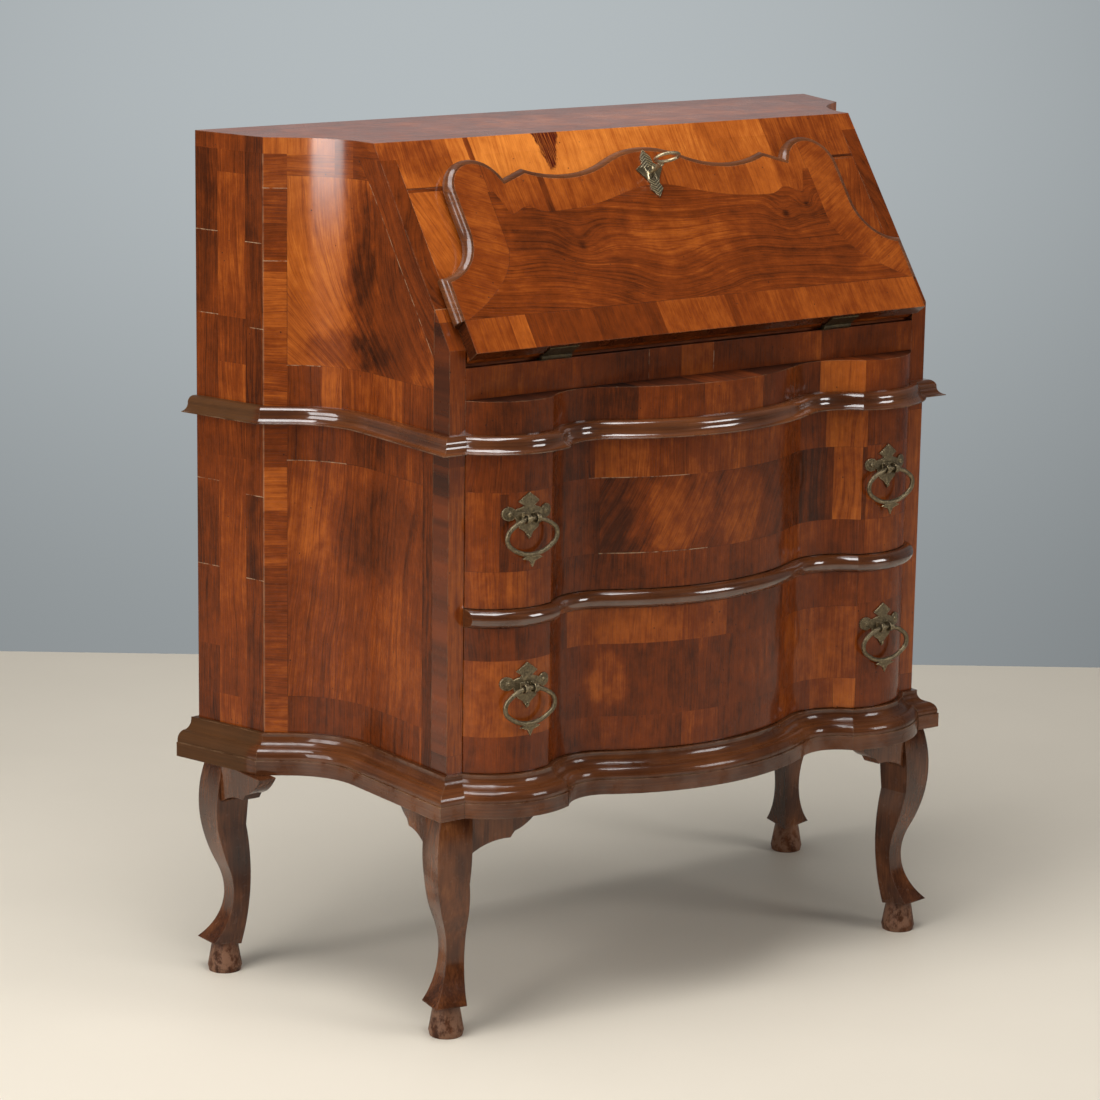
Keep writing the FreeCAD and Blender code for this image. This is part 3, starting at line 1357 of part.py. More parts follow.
# Writing bed with slits for the stays
bed_stock = block(
    "bed_stock", WIDE, (depth(POST_BACK), depth("Sizes.back_thickness")),
    (f"{BED_TOP} - Sizes.bed_thickness", BED_TOP))
bed_main = joined("Common", "bed_main", hollow, bed_stock)
bed_lip = block(
    "bed_lip", FRONT_SPAN, (depth("Worked.bed_front_depth"), depth(POST_BACK)),
    (level_text["rail_height"], BED_TOP))
bed_whole = joined("Fuse", "bed_whole", bed_main, bed_lip)
slit_front, slit_back = bed_crossings()
slit = box_between(
    Vector(mm.stay_x - mm.slit_play / 2, slit_front - mm.stay_width - mm.slit_play, bed_top - mm.overrun),
    Vector(mm.stay_x + mm.stay_thickness + mm.slit_play / 2, slit_back + mm.stay_width + mm.slit_play,
           bed_top + mm.overrun))
keep("writing_bed", joined("Cut", "writing_bed", bed_whole, shaped("bed_slits", both_sides(slit))))

# Cheeks, gallery and its two drawers
cheeks = []
for name, side in SIDES.items():
    stock = block(
        f"cheek_stock_{name}",
        sided(side, "Worked.cheek_inner_x", "Worked.cheek_inner_x + Sizes.cheek_thickness"),
        (depth("Sizes.post_depth"), depth("Sizes.back_thickness")), (BED_TOP, TOP_UNDERSIDE))
    cheeks.append(joined("Cut", f"cheek_{name}", stock, slant_inner))
keep("interior_cheeks", group("interior_cheeks", cheeks))

gallery_y = (depth("Sizes.gallery_depth"), depth("Sizes.back_thickness"))
SHELF = f"({BED_TOP} + Sizes.gallery_height)"
GALLERY_END = "(Worked.gallery_end_x + Sizes.gallery_board)"
gallery = [block(
    "gallery_shelf", (f"-{GALLERY_END}", GALLERY_END), gallery_y, (SHELF, f"{SHELF} + Sizes.gallery_board"))]
for name, side in SIDES.items():
    for place in ("end", "niche"):
        x = sided(side, f"Worked.gallery_{place}_x", f"Worked.gallery_{place}_x + Sizes.gallery_board")
        gallery.append(block(f"gallery_{place}_{name}", x, gallery_y, (BED_TOP, SHELF)))
keep("gallery_boards", group("gallery_boards", gallery))


def knob():
    """A turned knob pointing forwards from the origin."""
    ball = Part.makeSphere(mm.knob_radius, ahead * (mm.knob_length - mm.knob_radius))
    return ball.fuse(cylinder(Vector(), ahead, mm.knob_neck, mm.knob_radius))


NEAR = "(Worked.gallery_niche_x + Sizes.gallery_board + Sizes.inner_clearance)"
FAR = "(Worked.gallery_end_x - Sizes.inner_clearance)"
NEAR_IN = f"({NEAR} + Sizes.inner_board)"
FAR_IN = f"({FAR} - Sizes.inner_board)"
FACE_IN = "(Sizes.gallery_depth - Sizes.inner_board)"
TAIL = "(Sizes.back_thickness + Sizes.inner_board)"
LID = f"({SHELF} - Sizes.inner_clearance)"
INNER_BOARDS = {
    "front": ((NEAR, FAR), (depth("Sizes.gallery_depth"), depth(FACE_IN)), (BED_TOP, LID)),
    "near": ((NEAR, NEAR_IN), (depth(FACE_IN), depth(TAIL)), (BED_TOP, LID)),
    "far": ((FAR_IN, FAR), (depth(FACE_IN), depth(TAIL)), (BED_TOP, LID)),
    "tail": ((NEAR_IN, FAR_IN), (depth(f"{TAIL} + Sizes.inner_board"), depth(TAIL)), (BED_TOP, LID)),
    "floor": ((NEAR_IN, FAR_IN), (depth(FACE_IN), depth(f"{TAIL} + Sizes.inner_board")),
              (BED_TOP, f"{BED_TOP} + Sizes.inner_board")),
}
knob_x = (mm.gallery_niche_x + mm.gallery_board + mm.gallery_end_x) / 2
for name, side in SIDES.items():
    boards = [
        block(f"inner_{board}_{name}", sided(side, *x), y, z) for board, (x, y, z) in INNER_BOARDS.items()
    ]
    spot = Vector(side * knob_x, back - mm.gallery_depth, bed_top + mm.gallery_height / 2)
    boards.append(shaped(f"inner_knob_{name}", knob(), Placement(spot, Rotation())))
    keep(f"inner_drawer_{name}", group(f"inner_drawer_{name}", boards))

# Soundness of every piece, then one file for each
doc.recompute()
faults = [item.Name for item in doc.Objects if {"Invalid", "Error"} & set(item.State)]
faults += [item.Label for item in nodes if item.Shape.isNull() or not item.Shape.isValid()]
if faults:
    raise RuntimeError("unsound pieces: " + ", ".join(faults))
os.makedirs("parts", exist_ok=True)
for item in nodes:
    item.Shape.exportStep(f"parts/{item.Label}.step")
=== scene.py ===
import math

import bpy
from mathutils import Matrix, Vector


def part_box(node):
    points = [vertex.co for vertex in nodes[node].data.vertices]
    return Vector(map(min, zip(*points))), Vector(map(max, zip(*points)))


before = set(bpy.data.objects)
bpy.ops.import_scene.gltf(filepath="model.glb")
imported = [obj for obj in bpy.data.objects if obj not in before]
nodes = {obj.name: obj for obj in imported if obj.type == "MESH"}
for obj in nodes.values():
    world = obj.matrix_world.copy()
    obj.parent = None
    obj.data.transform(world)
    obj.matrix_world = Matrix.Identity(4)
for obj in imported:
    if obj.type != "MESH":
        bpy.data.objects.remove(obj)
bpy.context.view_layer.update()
scene = bpy.context.scene
scene.view_settings.view_transform = "Standard"

# Camera, as fitted to the photograph
EYE = Vector((-2.5185, -3.3158, 1.4260))
YAW, PITCH, ROLL = (math.radians(angle) for angle in (36.139, 12.734, 0.856))
SENSOR = 36.0
FOCAL_SHARE = 3646.64 / 1100

# Case sizes that the veneer follows, in millimetres
MM = 1000
BACK = 212.5
ARRIS_DEPTH = 97.5
ARRIS_X = 413
SWEEP_STRETCH = 0.4
CASE_FOOT, CASE_TOP = 301, 981
BOARD_FOOT = 962
WAIST_FOOT, WAIST_TOP = 660, 680
SLANT_FOOT_Y, SLANT_FOOT_Z = -144.5, 772.3
SLANT = math.radians(54.07)
FRAME_HALF = 345
PANEL_FACE = 17
PANEL_RIM = 0.6

# Strips of a side by their run from the arris, and the crossband under the top
FLANK_BACK, FLANK_OUTER, FLANK_INNER = -98, -65.5, -25.5
LINED, SIDE_FRONT = 24, 300
HEAD_BAND = [(LINED, 0.6), (78, 0.5), (104, 0.46), (SIDE_FRONT, 0)]
HEAD_BAND_FOOT = 938

# Half widths of a tight joint, of an opened one and of the fraying round that, in millimetres
JOINT_HALF = 0.45
CRACK_HALF, CRACK_FRAY = 0.1, 0.35

# Radius over which edges look worn, in metres
EDGE_RADIUS = 0.0016

# Polish of the sides and the top: its index and blur, the least of it, and more along the sweep
SIDE_POLISH = {"hard": 1.85, "haze": 0.18}
LEAST_POLISH = 0.12
HOLLOW_RUN, HOLLOW_WIDTH, HOLLOW_POLISH = 55, 60.0, 0.88

# Sockets of a Mix node by their place, since their names repeat
MIX_COLOURS, MIX_COLOUR_RESULT = (6, 7), 2
MIX_VECTORS, MIX_VECTOR_RESULT = (4, 5), 1


def place_camera():
    """The camera at the photograph's place, with its turn and focal length."""
    forward = Vector((math.sin(YAW) * math.cos(PITCH), math.cos(YAW) * math.cos(PITCH), -math.sin(PITCH)))
    level_right = Vector((math.cos(YAW), -math.sin(YAW), 0))
    level_up = level_right.cross(forward)
    right = math.cos(ROLL) * level_right + math.sin(ROLL) * level_up
    up = -math.sin(ROLL) * level_right + math.cos(ROLL) * level_up
    camera = bpy.data.objects.new("camera", bpy.data.cameras.new("camera"))
    scene.collection.objects.link(camera)
    turn = Matrix((right, up, -forward)).transposed()
    camera.matrix_world = Matrix.Translation(EYE) @ turn.to_4x4()
    camera.data.sensor_width = SENSOR
    camera.data.lens = SENSOR * FOCAL_SHARE
    scene.camera = camera


class Value:
    """A shader socket whose arithmetic adds Math nodes."""

    def __init__(self, finish, socket):
        self.finish = finish
        self.socket = socket

    def maths(self, operation, first, second=0.0):
        return self.finish.node("ShaderNodeMath", {"operation": operation}, {0: first, 1: second})

    def __add__(self, other):
        return self.maths("ADD", self, other)

    def __sub__(self, other):
        return self.maths("SUBTRACT", self, other)

    def __rsub__(self, other):
        return self.maths("SUBTRACT", other, self)

    def __mul__(self, other):
        return self.maths("MULTIPLY", self, other)

    def __truediv__(self, other):
        return self.maths("DIVIDE", self, other)

    def __pow__(self, other):
        return self.maths("POWER", self, other)

    def __abs__(self):
        return self.maths("ABSOLUTE", self)

    def __lt__(self, other):
        return self.maths("LESS_THAN", self, other)

    def __gt__(self, other):
        return self.maths("GREATER_THAN", self, other)

    __radd__ = __add__
    __rmul__ = __mul__

    def most(self, other):
        return self.maths("MAXIMUM", self, other)

    def least(self, other):
        return self.maths("MINIMUM", self, other)

    def bell(self, width):
        """1 where the value is 0, falling off over the width."""
        ratio = self / width
        return self.maths("EXPONENT", ratio * ratio * -1)


class Finish:
    """One material being mixed."""

    def __init__(self, name, material=None):
        self.material = material or bpy.data.materials.new(name)
        self.material.use_nodes = True
        self.tree = self.material.node_tree
        self.tree.nodes.clear()

    def node(self, kind, settings=None, sockets=None, output=0):
        """Any node: its type, its settings, then the values or links of its sockets."""
        item = self.tree.nodes.new(kind)
        for name, setting in (settings or {}).items():
            if name == "stops":
                self.lay_stops(item.color_ramp, setting)
            else:
                setattr(item, name, setting)
        for key, value in (sockets or {}).items():
            if isinstance(value, Value):
                self.tree.links.new(value.socket, item.inputs[key])
            else:
                item.inputs[key].default_value = value
        return Value(self, item.outputs[output]) if item.outputs else None

    def lay_stops(self, ramp, stops):
        while len(ramp.elements) < len(stops):
            ramp.elements.new(1)
        for element, (place, colour) in zip(ramp.elements, stops):
            element.position = place
            element.color = (*colour, 1)

    def split(self, vector):
        first = self.node("ShaderNodeSeparateXYZ", None, {0: vector})
        return [Value(self, socket) for socket in first.socket.node.outputs]

    def vector(self, x, y, z):
        return self.node("ShaderNodeCombineXYZ", None, {0: x, 1: y, 2: z})

    def dot(self, first, second):
        sockets = {0: first, 1: second}
        return self.node("ShaderNodeVectorMath", {"operation": "DOT_PRODUCT"}, sockets, "Value")

    def spot(self):
        """Place on the object at rest, in millimetres."""
        place = self.node("ShaderNodeTexCoord", output="Object")
        return [part * MM for part in self.split(place)]

    def facing(self):
        """The way the surface faces, as x, y and z."""
        return self.split(self.node("ShaderNodeNewGeometry", output="Normal"))

    def noise(self, x, y, z, detail=2.0, roughness=0.5):
        """Noise about 0, one cell per unit."""
        sockets = {"Vector": self.vector(x, y, z), "Scale": 1.0, "Detail": detail, "Roughness": roughness}
        return self.node("ShaderNodeTexNoise", None, sockets) - 0.5

    def speckle(self, spots, size, detail=2.0, roughness=0.5):
        """Noise over the object; its cells are one size in millimetres, or one for each axis."""
        sizes = size if isinstance(size, tuple) else (size, size, size)
        places = [spot / cell for spot, cell in zip(spots, sizes)]
        return self.noise(*places, detail, roughness)

    def smooth(self, value, low, high):
        settings = {"interpolation_type": "SMOOTHSTEP"}
        return self.node("ShaderNodeMapRange", settings, {0: value, 1: low, 2: high})

    def ramp(self, value, stops):
        return self.node("ShaderNodeValToRGB", {"stops": stops}, {0: value})

    def mix(self, factor, first, second):
        """Colours; a plain colour is given as three numbers."""
        sockets = {0: factor}
        for key, colour in zip(MIX_COLOURS, (first, second)):
            sockets[key] = colour if isinstance(colour, Value) else (*colour, 1)
        return self.node("ShaderNodeMix", {"data_type": "RGBA"}, sockets, MIX_COLOUR_RESULT)

    def mix_vector(self, factor, first, second):
        sockets = {0: factor, **dict(zip(MIX_VECTORS, (first, second)))}
        return self.node("ShaderNodeMix", {"data_type": "VECTOR"}, sockets, MIX_VECTOR_RESULT)

    def edges(self, radius, seam=None):
        """The normal rounded over sharp edges, and how far it bends there; none at a closed seam."""
        rounded = self.node("ShaderNodeBevel", {"samples": 3}, {"Radius": radius})
        flat = self.node("ShaderNodeNewGeometry", output="Normal")
        along = self.dot(rounded, flat)
        if seam is None:
            return rounded, 1 - along
        return self.mix_vector(seam, rounded, flat), (1 - along) * (1 - seam)

    def surface(self, sockets, height, strength, depth, normal):
        """The shader itself, with the height as bump over the rounded normal."""
        bump = {"Strength": strength, "Distance": depth, "Height": height, "Normal": normal}
        sockets = {**sockets, "Normal": self.node("ShaderNodeBump", None, bump)}
        shader = self.node("ShaderNodeBsdfPrincipled", None, sockets)
        self.node("ShaderNodeOutputMaterial", None, {"Surface": shader})
        return self.material


# Woods, from their darkest figure to their palest
VENEER_STOPS = [
    (0.0, (0.012, 0.004, 0.002)), (0.25, (0.055, 0.012, 0.003)), (0.5, (0.165, 0.032, 0.005)),
    (0.72, (0.34, 0.082, 0.011)), (1.0, (0.60, 0.19, 0.03)),
]
SOLID_STOPS = [
    (0.0, (0.016, 0.005, 0.002)), (0.35, (0.06, 0.018, 0.006)), (0.65, (0.14, 0.045, 0.014)),
    (1.0, (0.30, 0.11, 0.034)),
]
OAK_STOPS = [(0.0, (0.07, 0.035, 0.015)), (0.5, (0.22, 0.12, 0.055)), (1.0, (0.42, 0.27, 0.14))]
WORN = (0.36, 0.21, 0.11)
WORN_LEG = (0.24, 0.125, 0.075)
OLIVE_FLANK = (0.06, 0.03, 0.011)
JOINT = (0.02, 0.007, 0.003)
OAK_JOINT = (0.03, 0.016, 0.008)
RED_KNOT = (0.055, 0.005, 0.003)
FILLED = (0.4, 0.27, 0.16)


class Veneer:
    """Leaves of veneer laid over one another on a face with places u and v in millimetres."""

    def __init__(self, finish, u, v, tone, turn=0.0):
        self.finish = finish
        self.u = u
        self.v = v
        self.state = finish.vector(*self.grain(tone, turn, 0, 0))
        self.joints = None
        self.cracks = None
        self.swirl = None
        self.bend = None
        self.stain = None
        self.arris = None

    def grain(self, tone, turn, left, foot):
        """A leaf's tone, its grain's turn and a seed that follows its place."""
        return tone, math.radians(turn), left * 0.13 + foot * 0.07

    def shape(self, edge, tone, turn=0.0, joint=True, left=5, foot=5):
        """A leaf inside the line where edge is 0; turn 90 lays its grain along u."""
        inside = edge < 0.0
        self.state = self.finish.mix_vector(inside, self.state, self.grain(tone, turn, left, foot))
        if joint:
            line = abs(edge) < JOINT_HALF
            kept = self.joints * (1 - inside) if self.joints else 0.0
            self.joints = line.most(kept)

    def edge(self, left, right, foot, top):
        """How far a place lies outside a rectangle; below 0 inside it."""
        across = abs(self.u - (left + right) / 2) - (right - left) / 2
        upright = abs(self.v - (foot + top) / 2) - (top - foot) / 2
        return across.most(upright)

    def leaf(self, left, right, foot, top, tone, turn=0.0):
        self.shape(self.edge(left, right, foot, top), tone, turn, left=left, foot=foot)

    def crack(self, left, right, foot, top):
        """An opened joint along a line, filled with pale dust."""
        gap = self.edge(left, right, foot, top) < CRACK_FRAY
        self.cracks = gap.most(self.cracks) if self.cracks else gap

    def level_crack(self, left, right, height):
        self.crack(left, right, height - CRACK_HALF, height + CRACK_HALF)

    def row(self, place, inside, cuts, turn, side):
        """Leaves that start one after the other along a place, within a mask."""
        for start, tone in cuts[:-1]:
            grain = self.grain(tone, turn, start, side)
            self.state = self.finish.mix_vector((place > start) * inside, self.state, grain)

    def strip(self, cuts, foot, top, turn=0.0):
        """Leaves side by side: each cut is where a leaf starts and its tone; the last one only ends."""
        self.row(self.u, self.edge(cuts[0][0], cuts[-1][0], foot, top) < 0.0, cuts, turn, foot)

    def stack(self, left, right, cuts, turn=0.0):
        """Leaves one above the other, given as for a strip."""
        self.row(self.v, self.edge(left, right, cuts[0][0], cuts[-1][0]) < 0.0, cuts, turn, left)

    def overlay(self, other, mask):
        """The other face's leaves where the mask is 1."""
        keep = 1 - mask
        self.u = other.u * mask + self.u * keep
        self.v = other.v * mask + self.v * keep
        self.state = self.finish.mix_vector(mask, self.state, other.state)
        self.stain = other.stain * mask if other.stain else self.stain

    def tint(self, amount):
        """A change of tone on the leaves laid so far."""
        f = self.finish
        sockets = {0: self.state, 1: f.vector(amount, 0.0, 0.0)}
        self.state = f.node("ShaderNodeVectorMath", {"operation": "ADD"}, sockets)

    def shade(self, u, v, wide, high, amount):
        """A darker or lighter cloud with a ragged rim."""
        f = self.finish
        ragged = f.noise(self.u / 24, self.v / 40, u * 0.1, 4.0, 0.6) * 2.4
        reach = ((self.u - u) / wide) ** 2 + ((self.v - v) / high) ** 2
        self.tint(f.smooth(reach + ragged, 1.25, 0.2) * amount)

    def knot(self, u, v, size, depth=0.0, lift=4.0):
        """Grain swirls round a knot, or rises over an arch without a heart."""
        away = ((self.u - u) ** 2 + (self.v - v) ** 2) ** 0.5
        turned = away.bell(size) * lift
        self.swirl = turned if self.swirl is None else self.swirl + turned
        if depth:
            self.tint(away.bell(size / 5) * -depth)

    def figured(self, rings=1.0, fibre=1.0, clouds=1.0, period=11.0, sway=6.0):
        """The walnut figure: returns the tone of each place and its fibre."""
        f = self.finish
        tone, turn, seed = f.split(self.state)
        cosine = turn.maths("COSINE", turn)
        sine = turn.maths("SINE", turn)
        u = self.u - self.bend if self.bend else self.u
        across = u * cosine + self.v * sine
        along = self.v * cosine - u * sine
        drift = f.noise(across / 70, along / 170, seed * 7.3, 2.0) * sway
        if self.swirl:
            drift = drift + self.swirl
        ring = f.noise(across / period + drift, along / 900, seed * 3.1, 2.0, 0.6)
        line = f.noise(across / (period * 0.26) + drift * 3, along / 200, seed * 2.3, 3.0, 0.65)
        strand = f.noise(across / 1.3, along / 34, seed, 3.0, 0.6)
        mottle = f.noise(across / 11, along / 17, seed * 0.7 + 9, 4.0, 0.65)
        cloud = f.noise(self.u / 55, self.v / 70, seed * 0.4 + 4, 2.0)
        dark = f.smooth(line, 0.06, -0.2) * (0.13 * rings)
        figure = ring * (0.34 * rings) + strand * (0.4 * fibre) + (cloud + mottle) * (0.28 * clouds)
        return tone + 0.04 - dark + figure, strand


def varnish(
    f, tone, strand, veneer, spots, wear=0.55, gloss=0.27, coat=0.55, seam=None, hard=1.5, haze=0.1,
):
    """Colour, wear, gloss and grain of varnished wood; hard and haze are its polish's index and blur."""
    rounded, bend = f.edges(EDGE_RADIUS, seam)
    pores = f.smooth(strand, -0.12, -0.28)
    colour = f.ramp(tone - pores * 0.06, VENEER_STOPS)
    scuff = f.speckle(spots, 26, 4.0, 0.65)
    grime = f.speckle(spots, 90, 3.0)
    height = strand
    if veneer.stain:
        colour = f.mix(veneer.stain * f.smooth(strand, -0.3, 0.1), colour, RED_KNOT)
    if veneer.joints:
        colour = f.mix(veneer.joints * f.smooth(grime, -0.2, 0.15) * 0.5, colour, JOINT)
        height = height - veneer.joints * 0.4
    if veneer.cracks:
        broken = veneer.cracks * f.smooth(f.speckle(spots, 13, 5.0, 0.7), -0.12, 0.12)
        colour = f.mix(broken * 0.75, colour, FILLED)
        height = height - broken
    rubbed = f.smooth(bend, 0.03, 0.2) * f.smooth(scuff, -0.16, 0.14) * wear
    if veneer.arris:
        rubbed = rubbed.most(veneer.arris * f.smooth(scuff, -0.3, 0.2) * wear)
    colour = f.mix(rubbed, colour, WORN)
    places = f.vector(*(spot / 13 for spot in spots))
    hole = f.node("ShaderNodeTexVoronoi", None, {"Vector": places, "Scale": 1.0})
    pit = f.smooth(hole, 0.085, 0.055) * f.smooth(scuff, 0.0, 0.04)
    colour = f.mix(pit * 0.8, colour, JOINT)
    height = height - pit * 2
    shine = gloss - strand * 0.12 + scuff * 0.14 + grime * 0.1 + rubbed * 0.2
    sockets = {
        "Base Color": colour, "Roughness": shine, "Specular IOR Level": 0.08,
        "Coat Weight": coat, "Coat Roughness": haze, "Coat IOR": hard,
    }
    return f.surface(sockets, height, 0.35, 0.0004, rounded)


def side_run(x, y):
    """Place along the side's sweep, from the arris."""
    return BACK - ARRIS_DEPTH - y + (ARRIS_X - abs(x)).most(0.0) * SWEEP_STRETCH


def sweep_polish(u):
    """The extra polish along the hollow of the sweep."""
    return (u - HOLLOW_RUN).bell(HOLLOW_WIDTH) * HOLLOW_POLISH


def side_veneer():
    """Flank strips, lined crossbands and flamed fields of a side, above and below the waist."""
    f = Finish("side_veneer")
    x, y, z = f.spot()
    u = side_run(x, y)
    leaning = (z - SLANT_FOOT_Z) * math.cos(SLANT) - (y - SLANT_FOOT_Y) * math.sin(SLANT)
    slanted_leaf = 32
    upper_foot = 726
    lower_foot, lower_top = 344, 618
    lower_front, lower_band_end = 240, 236
    v = Veneer(f, u, z, 0.45)
    # Upper field, its crossbands and the leaf along the slanted edge with its opened joint
    v.leaf(LINED, SIDE_FRONT, upper_foot, HEAD_BAND_FOOT, 0.65, 5)
    v.shade(45, 880, 50, 120, 0.06)
    v.shade(190, 800, 88, 220, -0.27)
    v.shade(118, 845, 26, 100, -0.2)
    v.shade(110, 748, 70, 26, -0.16)
    v.strip(HEAD_BAND, HEAD_BAND_FOOT, CASE_TOP, 90)
    v.strip([
        (LINED, 0.48), (62, 0.58), (88, 0.46), (135, 0.5), (178, 0.56), (198, 0.42), (SIDE_FRONT, 0),
    ], WAIST_TOP, upper_foot)
    v.shape(-slanted_leaf - leaning, 0.4, 30)
    v.crack(-80, SIDE_FRONT, 745, 935)
    v.cracks = (abs(leaning + slanted_leaf) < 0.4) * v.cracks
    # Lower field and its crossbands
    v.leaf(LINED, lower_front, lower_foot, lower_top, 0.46, -6)
    v.shade(50, 560, 45, 60, 0.1)
    v.shade(150, 545, 110, 60, -0.11)
    v.shade(185, 420, 60, 70, 0.06)
    v.strip([(LINED, 0.36), (110, 0.33), (165, 0.42), (lower_band_end, 0)], lower_top, WAIST_FOOT)
    v.strip([(LINED, 0.4), (46, 0.35), (120, 0.38), (lower_band_end, 0)], CASE_FOOT, lower_foot)
    v.leaf(lower_front, SIDE_FRONT, CASE_FOOT, WAIST_FOOT, 0.3)
    # Lined strip beside the arris
    v.stack(0, LINED, [
        (CASE_FOOT, 0.56), (340, 0.46), (382, 0.43), (440, 0.4), (496, 0.53), (560, 0.62), (610, 0.42),
        (WAIST_FOOT, 0),
    ], 90)
    v.stack(0, LINED, [
        (WAIST_TOP, 0.52), (731, 0.55), (769, 0.63), (831, 0.47), (843, 0.42), (885, 0.46), (924, 0.56),
        (949, 0.48), (CASE_TOP, 0),
    ], 90)
    # Flank: three strips
    v.stack(FLANK_BACK, FLANK_OUTER, [
        (CASE_FOOT, 0.36), (392, 0.39), (485, 0.34), (585, 0.37), (WAIST_TOP, 0.4), (776, 0.35),
        (870, 0.3), (963, 0.34), (CASE_TOP, 0),
    ])
    v.stack(FLANK_OUTER, FLANK_INNER, [
        (CASE_FOOT, 0.54), (336, 0.47), (615, 0.45), (WAIST_TOP, 0.52), (723, 0.41), (775, 0.5),
        (937, 0.44), (CASE_TOP, 0),
    ])
    v.stack(FLANK_INNER, 0, [
        (CASE_FOOT, 0.32), (478, 0.3), (575, 0.33), (WAIST_TOP, 0.3), (766, 0.34), (862, 0.3),
        (CASE_TOP, 0),
    ])
    # Opened level joints
    for left, right, *heights in (
        (FLANK_BACK, FLANK_OUTER, 963, 870, 776), (FLANK_INNER, 0, 862, 766), (0, LINED, 843, 924),
        (FLANK_BACK, FLANK_OUTER, 485, 585), (FLANK_INNER, 0, 575, 478),
        (LINED, 95, lower_top), (LINED, 60, upper_foot),
    ):
        for height in heights:
            v.level_crack(left, right, height)
    # The upper field's grain sweeps forward towards its foot
    curl = (868 - z).most(0.0) / 130
    v.bend = curl * curl * 62 * (z > upper_foot) * (u > LINED)
    v.arris = u.bell(0.8)
    tone, strand = v.figured(rings=0.95, fibre=0.9, clouds=1.1, period=6.5)
    seam = f.smooth(z, BOARD_FOOT - 6, BOARD_FOOT - 3)
    polish = sweep_polish(u) * f.smooth(z, 840, 950) + LEAST_POLISH
    return varnish(f, tone, strand, v, (x, y, z), coat=polish, seam=seam, **SIDE_POLISH)


def top_veneer():
    """The top carries on the veneer of the sides and of the slanted frame over its edges."""
    f = Finish("top_veneer")
    spots, up, _ = slope_places(f)
    x, y, z = spots
    _, facing_y, facing_z = f.facing()
    v = Veneer(f, side_run(x, y), z, 0.42, 90)
    for left, right, foot, tone, turn in (
        (FLANK_BACK, FLANK_OUTER, 963, 0.34, 0), (FLANK_OUTER, FLANK_INNER, 937, 0.44, 0),
        (FLANK_INNER, 0, 862, 0.3, 0), (0, LINED, 949, 0.48, 90),
    ):
        v.stack(left, right, [(foot, tone), (CASE_TOP, 0)], turn)
    v.strip(HEAD_BAND, HEAD_BAND_FOOT, CASE_TOP, 90)
    front = Veneer(f, x, up, 0.7)
    front_leaves(front)
    v.overlay(front, f.smooth(facing_y, -0.5, -0.6))
    flat = Veneer(f, x, y, 0.42, 90)
    flat.strip([(-360, 0.46), (360, 0)], 20, 170, 90)
    flat.shade(60, 90, 240, 60, 0.08)
    level = f.smooth(facing_z, 0.8, 0.9)
    v.overlay(flat, level)
    tone, strand = v.figured(rings=0.75, fibre=0.9, clouds=1.1, period=8.0)
    seam = f.smooth(z, BOARD_FOOT + 5, BOARD_FOOT + 3)
    polish = sweep_polish(side_run(x, y)) * (1 - level) + level * 0.15 + LEAST_POLISH
    return varnish(f, tone, strand, v, spots, gloss=0.3, coat=polish, seam=seam, **SIDE_POLISH)


def post_veneer():
    """Upright grain on the corner posts, with painted shade darkening the side faces."""
    f = Finish("post_veneer")
    x, y, z = f.spot()
    ends = -400, 400
    v = Veneer(f, x, z, 0.56)
    v.leaf(*ends, 645, 800, 0.44)
    v.shade(-330, 628, 30, 16, -0.12)
    v.leaf(*ends, CASE_FOOT, 322, 0.5)
    tone, strand = v.figured(rings=0.7, fibre=1.3, clouds=0.8, period=6.0)
    _, facing_y, _ = f.facing()
    # Painted shade: faces not turned to the front are darkened
    aside = f.smooth(facing_y, -0.6, -0.4)
    return varnish(f, tone - aside * 0.21, strand, v, (x, y, z), wear=0.7)


def upper_front_veneer():
    """Dark flamed field, crossbands and a block of leaves on each lobe."""
    f = Finish("upper_drawer_veneer")
    x, y, z = f.spot()
    foot, low, high, top = 480, 529, 615, 670
    left_end, right_end, field_end = -213, 229, 112
    lobe_high = high + 2
    v = Veneer(f, x, z, 0.34)
    v.leaf(-142, field_end, low, high, 0.36, -28)
    v.level_crack(-155, -45, high)
    v.level_crack(-142, -20, low)
    v.shade(-58, 572, 60, 52, 0.2)
    v.shade(30, 568, 36, 55, 0.16)
    v.shade(-118, 570, 34, 60, -0.1)
    v.leaf(field_end, 196, low, high, 0.3)
    v.leaf(196, 224, low, high, 0.64)
    v.strip([
        (left_end, 0.3), (-148, 0.56), (-92, 0.5), (33, 0.48), (field_end, 0.42), (186, 0.62),
        (right_end, 0),
    ], high, top)
    v.strip([
        (left_end, 0.3), (-130, 0.36), (-85, 0.42), (-6, 0.4), (field_end, 0.47), (right_end, 0),
    ], foot, low)
    for outer, split, end, rim, core, inner in (
        (-330, -288, left_end, 0.48, 0.45, 0.32), (330, 292, right_end, 0.43, 0.46, 0.4),
    ):
        for span, tone in (((outer, split), rim), ((split, end), core)):
            left, right = sorted(span)
            v.leaf(left, right, foot, low, tone + 0.04)
            v.leaf(left, right, low, lobe_high, tone)
            v.leaf(left, right, lobe_high, top, tone - 0.03)
        left, right = sorted((0.87 * end + 0.13 * split, end))
        v.leaf(left, right, lobe_high, top, inner)
    v.leaf(-289, -280, low, high, 0.33)
    tone, strand = v.figured(rings=0.8, fibre=0.8, clouds=1.3, period=6.5)
    return varnish(f, tone, strand, v, (x, y, z), coat=0.35)


